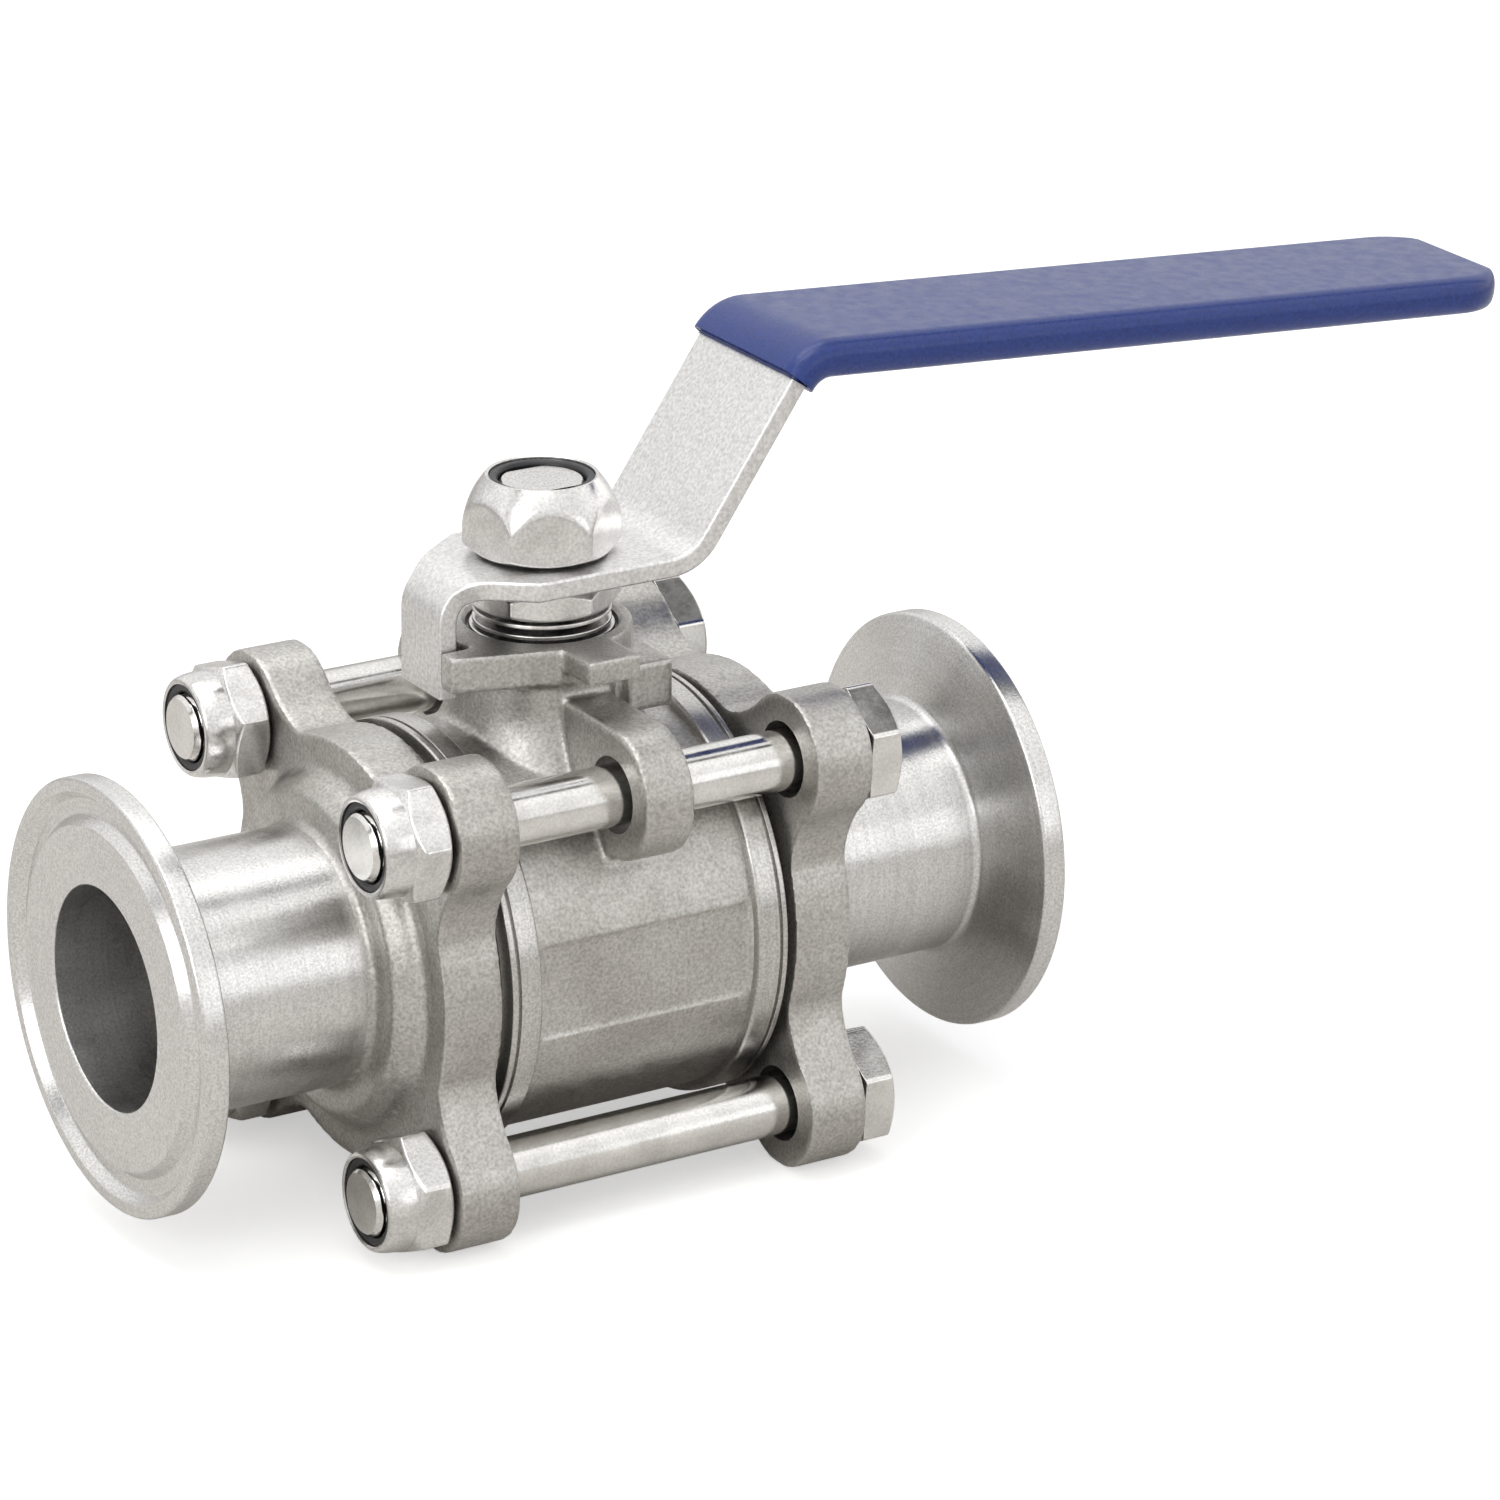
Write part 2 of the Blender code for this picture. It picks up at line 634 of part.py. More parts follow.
def body_mesh():
    """Cast body with rims, ears, tower, stop pad, cavity and packing chamber."""
    half_web = BODY_EAR_WIDTH / 2
    half_lug = LUG_WIDTH / 2
    half_panel = PANEL_HEIGHT / 2
    panel_depth = math.sqrt(BODY_RADIUS ** 2 - half_panel ** 2)
    barrel = turned("barrel", barrel_profile(), FINE)
    web = extruded("web", web_outline(), "X", -half_web, half_web, BODY_EAR_EDGE, BODY_EAR_EDGE)
    pad = extruded("pad", pad_outline(), "Z", PAD_BOTTOM, PAD_TOP, CHAMFER, 0.0)
    lug = box("lug", (-half_lug, -LUG_REACH, PAD_TOP - LUG_THICKNESS), (half_lug, -CHAMBER_RADIUS, PAD_TOP))
    shoulder = box("shoulder", (SHOULDER_START, -SHOULDER_FRONT, SHOULDER_BOTTOM),
                   (SHOULDER_END, -STEM_RADIUS, SHOULDER_TOP))
    cavity = turned("cavity", [
        (-BODY_END - OVERCUT, 0.0),
        (-BODY_END - OVERCUT, SPIGOT_RADIUS + GAP),
        (-SEAL_FLOOR, SPIGOT_RADIUS + GAP),
        (-SEAL_FLOOR, CAVITY_RADIUS),
        (SEAL_FLOOR, CAVITY_RADIUS),
        (SEAL_FLOOR, SPIGOT_RADIUS + GAP),
        (BODY_END + OVERCUT, SPIGOT_RADIUS + GAP),
        (BODY_END + OVERCUT, 0.0),
    ], FINE)
    stem_room = turned("stem_room", [
        (0.0, 0.0),
        (0.0, STEM_COLLAR_RADIUS + GAP),
        (NECK_BORE_FLOOR, STEM_COLLAR_RADIUS + GAP),
        (NECK_BORE_FLOOR, STEM_HOLE),
        (CHAMBER_FLOOR, STEM_HOLE),
        (CHAMBER_FLOOR, CHAMBER_RADIUS),
        (GLAND_SEAT, CHAMBER_RADIUS),
        (GLAND_SEAT, GLAND_RIM_RADIUS),
        (PAD_TOP - CHAMFER, GLAND_RIM_RADIUS),
        (PAD_TOP + CHAMFER, GLAND_RIM_RADIUS + 2 * CHAMFER),
        (PAD_TOP + CHAMFER, 0.0),
    ], MEDIUM, "Z")
    ear_holes = [
        drill("ear_hole", EAR_HOLE_RADIUS, -half_web - OVERCUT, half_web + OVERCUT, COARSE, "X", (0.0, y, z))
        for _, y, z in bolt_places() if z > 0.0
    ]
    panels = []
    for side in (-1, 1):
        depths = sorted((side * panel_depth, side * BODY_RIM_RADIUS))
        low = (-PANEL_REACH, depths[0], -half_panel - OVERCUT)
        high = (PANEL_REACH, depths[1], half_panel + OVERCUT)
        panels.append(box("panel", low, high))
    return combine("body", barrel, joined=[web, neck_mesh(), pad, lug, shoulder],
                   cut=[cavity, stem_room, *ear_holes, *panels])


def ball_mesh():
    """Ball with its port and the slot that the stem's tongue turns."""
    opening = math.asin((PORT_RADIUS + CHAMFER) / BALL_RADIUS)
    outside = arc((0.0, 0.0), BALL_RADIUS, math.pi - opening, opening, FINE)
    port_end = outside[-1][0] - CHAMFER
    globe = turned("globe", [*outside, (port_end, PORT_RADIUS), (-port_end, PORT_RADIUS)], FINE)
    half_slot = TONGUE_THICKNESS / 2 + GAP
    beyond = BALL_RADIUS + OVERCUT
    slot = box("slot", (-half_slot, -beyond, SLOT_FLOOR), (half_slot, beyond, beyond))
    return combine("ball", globe, cut=[slot])


def seat_mesh():
    """Right seat ring, hollowed to follow the ball."""
    follow = BALL_RADIUS + GAP
    low = math.asin(BORE_RADIUS / follow)
    high = math.asin(SEAT_CONTACT / follow)
    face = arc((0.0, 0.0), follow, low, high, FINE)
    back = CAP_FACE - GAP
    shoulder = (face[-1][0] + GAP, SEAT_RADIUS)
    return turned("seat", [*face, shoulder, (back, SEAT_RADIUS), (back, BORE_RADIUS)], FINE)


def seal_mesh():
    """Right body seal, between the counterbore floor and the spigot."""
    low = SEAL_FLOOR + GAP
    high = low + SEAL_THICKNESS
    inner = CAVITY_RADIUS + GAP
    return turned("seal", [(low, inner), (low, SPIGOT_RADIUS), (high, SPIGOT_RADIUS), (high, inner)], FINE)


def stem_mesh():
    """Stem with tongue, blow-out collar, packing journal and flatted thread."""
    half_tongue = TONGUE_THICKNESS / 2
    half_flats = STEM_FLATS / 2
    wide = 2 * STEM_COLLAR_RADIUS
    tongue_end = TONGUE_LENGTH / 2
    shaft = turned("shaft", [
        (SLOT_FLOOR + GAP, 0.0),
        (SLOT_FLOOR + GAP, tongue_end - CHAMFER),
        (SLOT_FLOOR + GAP + CHAMFER, tongue_end),
        (COLLAR_BOTTOM, STEM_COLLAR_RADIUS),
        (COLLAR_TOP, STEM_COLLAR_RADIUS),
        (COLLAR_TOP, STEM_RADIUS),
        (GLAND_RING_TOP - CHAMFER, STEM_RADIUS),
        (GLAND_RING_TOP, STEM_THREAD_RADIUS),
        (STEM_TOP - STEM_LEAD, STEM_THREAD_RADIUS),
        (STEM_TOP, STEM_THREAD_RADIUS - STEM_LEAD),
        (STEM_TOP, 0.0),
    ], MEDIUM, "Z")
    cheeks = [
        box("cheek", (min(side * half_tongue, side * wide), -wide, 0.0),
            (max(side * half_tongue, side * wide), wide, COLLAR_BOTTOM))
        for side in (-1, 1)
    ]
    flats = [
        box("flat", (-wide, min(side * half_flats, side * wide), GLAND_NUT_TOP),
            (wide, max(side * half_flats, side * wide), STEM_TOP + OVERCUT))
        for side in (-1, 1)
    ]
    return combine("stem", shaft, cut=[*cheeks, *flats])


def packing_mesh(low, high, notched):
    """Packing ring with one V face: a ridge on top, or a notch below."""
    middle = (STEM_HOLE + PACKING_OUTER) / 2
    if notched:
        profile = [(low, STEM_HOLE), (low + PACKING_RIDGE, middle), (low, PACKING_OUTER),
                   (high, PACKING_OUTER), (high, STEM_HOLE)]
    else:
        profile = [(low, STEM_HOLE), (low, PACKING_OUTER), (high, PACKING_OUTER),
                   (high + PACKING_RIDGE, middle), (high, STEM_HOLE)]
    return turned("packing", profile, MEDIUM, "Z")


def gland_ring_mesh():
    """Flanged ring that presses on the packing."""
    flange_bottom = GLAND_SEAT + GAP
    return turned("gland_ring", [
        (PACKING_TOP + GAP, STEM_HOLE),
        (PACKING_TOP + GAP, PACKING_OUTER),
        (flange_bottom, PACKING_OUTER),
        (flange_bottom, GLAND_FLANGE),
        (GLAND_RING_TOP, GLAND_FLANGE),
        (GLAND_RING_TOP, STEM_HOLE),
    ], MEDIUM, "Z")


def spring_mesh(top, inside_high):
    """Conical spring washer whose inner edge stands high or low."""
    inner_top = top if inside_high else top - SPRING_CONE
    outer_top = top - SPRING_CONE if inside_high else top
    return turned("spring", [
        (inner_top - SPRING_THICKNESS, THREAD_HOLE),
        (outer_top - SPRING_THICKNESS, SPRING_RADIUS),
        (outer_top, SPRING_RADIUS),
        (inner_top, THREAD_HOLE),
    ], MEDIUM, "Z")


def hexagon(across, turn):
    corner = across / math.sqrt(3.0)
    angles = [turn + math.pi / 3 * i for i in range(6)]
    return [(corner * math.cos(a), corner * math.sin(a)) for a in angles]


def hex_chamfer(across):
    """Radius of a hexagon's end face, of its corners, and the run of the chamfer."""
    corner = across / math.sqrt(3.0) + GAP
    face = across / 2 * NUT_BASE_SHARE
    return face, corner, (corner - face) * math.tan(NUT_CHAMFER)


def plain_nut(across, height, hole, turn):
    """Thin hexagon nut with both faces chamfered, base at zero, axis along Z."""
    face, corner, run = hex_chamfer(across)
    envelope = turned("envelope", [
        (0.0, hole + CHAMFER), (0.0, face), (run, corner), (height - run, corner),
        (height, face), (height, hole + CHAMFER), (height - CHAMFER, hole), (CHAMFER, hole),
    ], FINE, "Z")
    prism = extruded("prism", hexagon(across, turn), "Z", -height, 2 * height)
    return combine("plain_nut", envelope, kept=[prism])


def lock_nut(across, height, hole, recess, axis, turn):
    """Hexagon nut with a domed crown round the recess for its nylon ring."""
    face, corner, run = hex_chamfer(across)
    crown_start = height * CROWN_START_SHARE
    collar = across / 2 * NUT_COLLAR_SHARE
    collar_start = crown_start + (corner - collar) * math.tan(NUT_CHAMFER)
    rim = recess + CROWN_RIM
    floor = height * RECESS_START_SHARE
    dome = [(collar_start + (height - collar_start) * up, rim + (collar - rim) * out)
            for out, up in arc((0.0, 0.0), 1.0, 0.0, QUARTER)]
    envelope = turned("envelope", [
        (0.0, hole + CHAMFER), (0.0, face), (run, corner), (crown_start, corner), *dome,
        (height, recess), (floor, recess), (floor, hole), (CHAMFER, hole),
    ], FINE if axis == "Z" else MEDIUM, axis)
    prism = extruded("prism", hexagon(across, turn), axis, -height, 2 * height)
    return combine("lock_nut", envelope, kept=[prism])


def nut_insert(height, hole, recess, axis):
    """Nylon ring in the crown of a lock nut."""
    low = height * RECESS_START_SHARE + CLOSE_GAP
    high = height - CLOSE_GAP
    outer = recess - CLOSE_GAP
    return turned("nut_insert", [(low, hole), (low, outer), (high, outer), (high, hole)], MEDIUM, axis)


def bolt_mesh():
    """Tie bolt along X: chamfered head, reduced shank and threaded end."""
    head_end = HEAD_SEAT + BOLT_HEAD_HEIGHT
    face, corner, run = hex_chamfer(BOLT_ACROSS)
    envelope = turned("envelope", [
        (HEAD_SEAT, 0.0), (HEAD_SEAT, corner), (head_end - run, corner), (head_end, face), (head_end, 0.0),
    ], MEDIUM)
    prism = extruded("prism", hexagon(BOLT_ACROSS, TIE_HEAD_TURN), "X", 0.0, 2 * head_end)
    head = combine("head", envelope, kept=[prism])
    thread_end = THREAD_LENGTH - BOLT_END
    shank = turned("shank", [
        (-BOLT_END, 0.0), (-BOLT_END, THREAD_RADIUS - CHAMFER), (CHAMFER - BOLT_END, THREAD_RADIUS),
        (thread_end, THREAD_RADIUS), (thread_end + CHAMFER, SHANK_RADIUS),
        (HEAD_SEAT + CHAMFER, SHANK_RADIUS), (HEAD_SEAT + CHAMFER, 0.0),
    ], COARSE)
    return combine("tie_bolt", shank, joined=[head])


def lever_path():
    """Middle line of the bent plate in the XZ plane, tab first, as corners and bends."""
    foot = LEVER_FOOT_TOP - PLATE_THICKNESS / 2
    elbow_height = foot + (ELBOW_PLACE - ARM_FOOT) * math.tan(ARM_ANGLE)
    tip_height = elbow_height - (STEEL_TIP - ELBOW_PLACE) * math.tan(GRIP_DROP)
    corners = [
        (-TAB_MIDDLE, TAB_BOTTOM), (-TAB_MIDDLE, foot), (ARM_FOOT, foot),
        (ELBOW_PLACE, elbow_height), (STEEL_TIP, tip_height),
    ]
    return corners, (TAB_BEND, ARM_BEND, ELBOW_BEND)


def bent(corners, radii):
    """Path through the corners with each bend rounded."""
    points = [Vector(corners[0])]
    for before, at, after, radius in zip(corners, corners[1:], corners[2:], radii):
        back = (Vector(before) - Vector(at)).normalized()
        ahead = (Vector(after) - Vector(at)).normalized()
        half = back.angle(ahead) / 2
        start = Vector(at) + back * (radius / math.tan(half))
        centre = Vector(at) + (back + ahead).normalized() * (radius / math.sin(half))
        sense = 1.0 if back.x * ahead.y - back.y * ahead.x < 0.0 else -1.0
        turn = math.pi - 2 * half
        steps = math.ceil(turn / math.tau * BEND_FACETS)
        for i in range(steps + 1):
            spin = Matrix.Rotation(sense * turn * i / steps, 2)
            points.append(centre + spin @ (start - centre))
    points.append(Vector(corners[-1]))
    return points


def normals(path):
    """Left-hand normal at every point of a path."""
    found = []
    for i in range(len(path)):
        along = path[min(i + 1, len(path) - 1)] - path[max(i - 1, 0)]
        along.normalize()
        found.append(Vector((-along.y, along.x)))
    return found


def lever_mesh():
    """Lever: one bent plate, tapered to its stop tab, with a double-D hole."""
    path = bent(*lever_path())
    half = PLATE_THICKNESS / 2
    sides = list(zip(path, normals(path)))
    section = [tuple(p + n * half) for p, n in sides] + [tuple(p - n * half) for p, n in reversed(sides)]
    width = LEVER_WIDTH / 2
    strip = extruded("strip", section, "Y", -width, width)
    corner = SLEEVE_CORNER - SLEEVE_WALL
    left = TAB_OUTSIDE + OVERCUT
    upper = [
        (-left, TAB_SIDE), (-TAB_INSIDE, TAB_SIDE), (-TAPER_START, width + GAP),
        (STEEL_TIP - corner, width + GAP),
        *arc((STEEL_TIP - corner, width - corner), corner, QUARTER, 0.0),
    ]
    plan = [*upper, *[(x, -y) for x, y in reversed(upper)]]
    blank = extruded("blank", plan, "Z", 0.0, 2 * LEVER_FOOT_TOP)
    reach = LEVER_FOOT_BOTTOM - OVERCUT
    beyond = LEVER_FOOT_TOP + OVERCUT
    round_hole = drill("round_hole", THREAD_HOLE, reach, beyond, MEDIUM, "Z")
    flat = STEM_FLATS / 2 + GAP
    flats = box("flats", (-2 * THREAD_HOLE, -flat, 0.0), (2 * THREAD_HOLE, flat, 2 * beyond))
    double_d = combine("double_d", round_hole, kept=[flats])
    return combine("lever", strip, cut=[double_d], kept=[blank])


def swept(name, path, half_width, half_height, edge, corner):
    """Rounded flat section swept along a path, its far end rounded in plan and in height."""
    length = [0.0]
    for first, second in zip(path, path[1:]):
        length.append(length[-1] + (second - first).length)
    rings = []
    for point, normal, travelled in zip(path, normals(path), length):
        left = length[-1] - travelled
        inset = corner - math.sqrt(corner ** 2 - max(corner - left, 0.0) ** 2)
        sink = edge - math.sqrt(edge ** 2 - max(edge - left, 0.0) ** 2)
        ring = []
        for across, up in rounded_rectangle(2 * half_width, 2 * half_height, edge):
            lift = math.copysign(abs(up) * (1.0 - sink / half_height), up)
            place = point + normal * lift
            ring.append((place.x, math.copysign(abs(across) - inset, across), place.y))
        rings.append(ring)
    return skinned(name, rings)


def sleeve_path(start, tip):
    """Path of the sleeve, from a place on the arm below the elbow to past the steel tip."""
    corners, radii = lever_path()
    elbow = Vector(corners[3])
    arm = (Vector(corners[2]) - elbow).normalized()
    grip = (Vector(corners[4]) - elbow).normalized()
    end = elbow + grip * ((tip - elbow.x) / grip.x)
    path = bent([tuple(elbow + arm * start), corners[3], tuple(end)], radii[2:])
    rounding = [end - grip * (SLEEVE_CORNER - up) for _, up in arc((0.0, 0.0), SLEEVE_CORNER, 0.0, QUARTER)]
    return [*path[:-1], *rounding]


def sleeve_mesh():
    """Dipped vinyl sleeve, open on the arm and closed round the tip."""
    outside = swept("outside", sleeve_path(SLEEVE_START, GRIP_TIP), LEVER_WIDTH / 2 + SLEEVE_WALL,
                    PLATE_THICKNESS / 2 + SLEEVE_WALL, SLEEVE_EDGE, SLEEVE_CORNER)
    inside = swept("inside", sleeve_path(SLEEVE_START + OVERCUT, STEEL_TIP + GAP), LEVER_WIDTH / 2 + GAP,
                   PLATE_THICKNESS / 2 + GAP, GAP, SLEEVE_CORNER - SLEEVE_WALL + GAP)
    return combine("grip_sleeve", outside, cut=[inside])


def build_fixed(frame):
    """Pieces that stay with the pipe."""
    piece("body", body_mesh(), CAST_STEEL, frame)
    paired = (
        ("end_cap", end_cap_mesh(), TURNED_STEEL),
        ("seat_ring", seat_mesh(), SEAT_WHITE),
        ("body_seal", seal_mesh(), SEAT_WHITE),
    )
    for name, mesh, finish in paired:
        piece(f"{name}_right", mesh, finish, frame)
        piece(f"{name}_left", mirrored(name, mesh), finish, frame)
    washer = turned("washer", [
        (WASHER_BOTTOM, STEM_HOLE),
        (WASHER_BOTTOM, STEM_COLLAR_RADIUS),
        (WASHER_TOP, STEM_COLLAR_RADIUS),
        (WASHER_TOP, STEM_HOLE),
    ], MEDIUM, "Z")
    piece("stem_thrust_washer", washer, SEAT_WHITE, frame)
    piece("packing_ring_lower", packing_mesh(PACKING_BOTTOM, PACKING_JOINT, False), SEAT_WHITE, frame)
    piece("packing_ring_upper", packing_mesh(PACKING_JOINT + GAP, PACKING_TOP, True), SEAT_WHITE, frame)
    piece("gland_ring", gland_ring_mesh(), TURNED_STEEL, frame)


def build_bolting(frame):
    """Four tie bolts with their lock nuts."""
    bolt = bolt_mesh()
    hole = THREAD_RADIUS + GAP
    nut = mirrored("nut", lock_nut(BOLT_ACROSS, TIE_NUT_HEIGHT, hole, TIE_NUT_RECESS, "X", 0.0))
    insert = mirrored("insert", nut_insert(TIE_NUT_HEIGHT, hole, TIE_NUT_RECESS, "X"))
    for name, y, z in bolt_places():
        piece(f"tie_bolt_{name}", bolt, BRIGHT_STEEL, frame, (0.0, y, z))
        piece(f"tie_nut_{name}", nut, BRIGHT_STEEL, frame, (-HEAD_SEAT, y, z), TIE_NUT_TURNS[name])
        piece(f"tie_nut_insert_{name}", insert, NYLON_BLACK, frame, (-HEAD_SEAT, y, z))


def build_turning(axis):
    """Pieces that turn with the lever."""
    piece("ball", ball_mesh(), BRIGHT_STEEL, axis)
    piece("stem", stem_mesh(), TURNED_STEEL, axis)
    piece("disc_spring_lower", spring_mesh(SPRING_LOWER_TOP, True), BRIGHT_STEEL, axis)
    piece("disc_spring_upper", spring_mesh(SPRING_UPPER_TOP, False), BRIGHT_STEEL, axis)
    gland_nut = plain_nut(STEM_NUT_ACROSS, GLAND_NUT_HEIGHT, THREAD_HOLE, STEM_NUT_TURN)
    piece("gland_nut", gland_nut, BRIGHT_STEEL, axis, (0.0, 0.0, GLAND_NUT_BOTTOM))
    piece("lever", lever_mesh(), PLATE_STEEL, axis)
    piece("grip_sleeve", sleeve_mesh(), BLUE_VINYL, axis)
    nut = lock_nut(STEM_NUT_ACROSS, STEM_NUT_HEIGHT, THREAD_HOLE, STEM_NUT_RECESS, "Z", STEM_NUT_TURN)
    piece("stem_nut", nut, BRIGHT_STEEL, axis, (0.0, 0.0, STEM_NUT_BOTTOM))
    insert = nut_insert(STEM_NUT_HEIGHT, THREAD_HOLE, STEM_NUT_RECESS, "Z")
    piece("stem_nut_insert", insert, NYLON_BLACK, axis, (0.0, 0.0, STEM_NUT_BOTTOM))


def main():
    clear_scene()
    frame = empty("valve_frame", (-MIDDLE_X, 0.0, EAR_TOP))
    axis = empty("stem_axis", (0.0, 0.0, 0.0), frame)
    build_fixed(frame)
    build_bolting(frame)
    build_turning(axis)


main()
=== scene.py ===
# %% [markdown]
# # Dressing a clamp-end ball valve
#
# The frame is the valve as it works: every piece at its real size, on the stem's joint.
# This lesson gives each piece the surface of the real one. The castings are blasted with
# fine beads, tube and ferrules are turned on a lathe, the fasteners are bright, and the grip
# is dipped vinyl. The frame itself is never moved: a finer piece is made in the same place
# and then stands for the plain one.

import json
import math

import bmesh
import bpy
from mathutils import Matrix, Vector

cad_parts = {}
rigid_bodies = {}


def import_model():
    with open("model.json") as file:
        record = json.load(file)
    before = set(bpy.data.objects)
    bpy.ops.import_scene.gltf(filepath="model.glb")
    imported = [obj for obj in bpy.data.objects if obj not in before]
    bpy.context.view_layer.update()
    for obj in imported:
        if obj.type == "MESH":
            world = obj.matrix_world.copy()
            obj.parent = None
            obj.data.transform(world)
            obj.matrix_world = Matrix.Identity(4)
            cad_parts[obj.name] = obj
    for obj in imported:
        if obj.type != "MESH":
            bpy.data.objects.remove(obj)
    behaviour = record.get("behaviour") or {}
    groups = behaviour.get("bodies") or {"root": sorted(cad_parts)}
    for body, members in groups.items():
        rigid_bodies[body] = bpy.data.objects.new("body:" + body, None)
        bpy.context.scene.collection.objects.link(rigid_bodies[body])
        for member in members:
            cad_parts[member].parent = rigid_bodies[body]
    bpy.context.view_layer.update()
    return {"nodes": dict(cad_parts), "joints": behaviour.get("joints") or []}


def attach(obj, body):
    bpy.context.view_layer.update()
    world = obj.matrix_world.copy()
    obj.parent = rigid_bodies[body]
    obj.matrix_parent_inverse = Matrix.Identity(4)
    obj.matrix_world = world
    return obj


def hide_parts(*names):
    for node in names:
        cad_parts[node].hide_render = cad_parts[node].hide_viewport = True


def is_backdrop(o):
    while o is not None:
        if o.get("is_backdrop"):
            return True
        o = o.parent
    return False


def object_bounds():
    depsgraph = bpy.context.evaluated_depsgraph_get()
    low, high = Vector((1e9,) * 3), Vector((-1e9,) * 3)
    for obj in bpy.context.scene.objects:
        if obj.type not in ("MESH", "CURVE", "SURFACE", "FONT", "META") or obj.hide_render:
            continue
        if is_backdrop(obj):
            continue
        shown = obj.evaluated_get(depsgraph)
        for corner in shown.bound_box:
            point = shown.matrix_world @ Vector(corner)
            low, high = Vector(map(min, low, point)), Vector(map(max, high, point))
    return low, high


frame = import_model()
hinge = frame["joints"][0]
centre = Vector(hinge["pos_m"])
FIXED = hinge["parent"]
TURNING = hinge["child"]
print("frame pieces:", len(frame["nodes"]), "centre of the ball:", tuple(centre))

# %% [markdown]
# ## Outlines, turning and lofting
#
# Most of the valve was made on a lathe or bent from plate, so two ways of making a mesh are
# enough. A turned piece is an outline swept round an axis, and a bent piece is a section
# swept along a path. Both are lofts through rings of points. Real edges are never razor
# sharp, so each corner of an outline may carry the radius that it is rounded to.

# %% Rounded outlines and arcs
MM = 0.001
ARC_FACET = math.radians(7.5)
QUARTER = math.pi / 2
EIGHTH = math.pi / 4


def arc(middle, radius, first, last):
    """Points on an arc, both ends in."""
    steps = math.ceil(abs(last - first) / ARC_FACET)
    angles = [first + (last - first) * i / steps for i in range(steps + 1)]
    return [Vector((middle[0] + radius * math.cos(a), middle[1] + radius * math.sin(a))) for a in angles]


def rounded(corners):
    """Closed outline in which a corner's third number is the radius it is rounded to."""
    outline = []
    count = len(corners)
    for i, corner in enumerate(corners):
        at = Vector(corner[:2])
        if len(corner) == 2:
            outline.append(at)
            continue
        back = (Vector(corners[i - 1][:2]) - at).normalized()
        ahead = (Vector(corners[(i + 1) % count][:2]) - at).normalized()
        half = back.angle(ahead) / 2
        start = at + back * (corner[2] / math.tan(half))
        middle = at + (back + ahead).normalized() * (corner[2] / math.sin(half))
        turn = math.pi - 2 * half
        sense = 1.0 if back.x * ahead.y < back.y * ahead.x else -1.0
        steps = math.ceil(turn / ARC_FACET)
        for k in range(steps + 1):
            outline.append(middle + Matrix.Rotation(sense * turn * k / steps, 2) @ (start - middle))
    return outline


sample = rounded([(0, 0, 1), (4, 0, 1), (4, 4, 1), (0, 4, 1)])
print("a square with round corners has", len(sample), "points")

# %% Loft rings of points into a closed piece
WELD = 1e-7


def placed(name, form, at=centre):
    """Turn a finished bmesh into a piece in the scene."""
    mesh = bpy.data.meshes.new(name)
    form.to_mesh(mesh)
    form.free()
    piece = bpy.data.objects.new(name, mesh)
    piece.location = at
    bpy.context.scene.collection.objects.link(piece)
    return piece


def loft(name, rings, loop=False):
    """Skin rings of equal count, in millimetres from the centre of the ball."""
    form = bmesh.new()
    made = [[form.verts.new(Vector(point) * MM) for point in ring] for ring in rings]
    pairs = list(zip(made, made[1:]))
    if loop:
        pairs.append((made[-1], made[0]))
    else:
        form.faces.new(list(reversed(made[0])))
        form.faces.new(made[-1])
    count = len(made[0])
    for here, there in pairs:
        for i in range(count):
            j = (i + 1) % count
            form.faces.new((here[i], here[j], there[j], there[i]))
    bmesh.ops.remove_doubles(form, verts=form.verts, dist=WELD)
    bmesh.ops.recalc_face_normals(form, faces=form.faces)
    return placed(name, form)


def prism(name, outline, axis, low, high):
    """Push a closed outline along X or Z."""
    if axis == "X":
        return loft(name, [[(x, a, b) for a, b in outline] for x in (low, high)])
    return loft(name, [[(a, b, z) for a, b in outline] for z in (low, high)])


def block(name, low, high):
    """Plain block between two corners, used to join or cut."""
    outline = [(low[0], low[1]), (high[0], low[1]), (high[0], high[1]), (low[0], high[1])]
    return prism(name, outline, "Z", low[2], high[2])


# %% [markdown]
# A lathe moves its tool along an outline while the blank turns. Here the outline is copied
# to many directions round the axis, and the copies are lofted into a closed loop. Each copy
# may still be changed on its way, which is how flats and threads are made further on.

# %% Turn an outline round the pipe or the stem
TURN_STEPS = 128
EVEN = [math.tau * i / TURN_STEPS for i in range(TURN_STEPS)]


def turned(name, profile, axis="X", shapes=(), spokes=EVEN, middle=(0.0, 0.0)):
    """Turn (place, radius) points round X or Z; each shape may change the radius on the way."""
    rings = []
    for angle in spokes:
        ring = []
        for place, radius in profile:
            for shape in shapes:
                radius = shape(place, radius, angle)
            a = middle[0] + radius * math.cos(angle)
            b = middle[1] + radius * math.sin(angle)
            ring.append((place, a, b) if axis == "X" else (a, b, place))
        rings.append(ring)
    return loft(name, rings, loop=True)


def drill(name, radius, low, high, axis="X", middle=(0.0, 0.0)):
    """Plain round cutter."""
    return turned(name, [(low, 0.0), (low, radius), (high, radius), (high, 0.0)], axis, middle=middle)


# %% [markdown]
# ## Shapes that a lathe can't turn
#
# A hexagon is a turned blank whose radius is limited by six flats. Taking the smaller of two
# radii gives a hard edge, and a soft minimum gives the small rounding of a forged nut. In
# the same way, flats on the stem limit its radius, and a thread takes a helical ridge off it.

# %% Shape functions for flats and threads
CORNER_SOFT = 0.35
SECTOR = math.pi / 3
SPOKES_PER_FLAT = 18
TINY = 1e-6


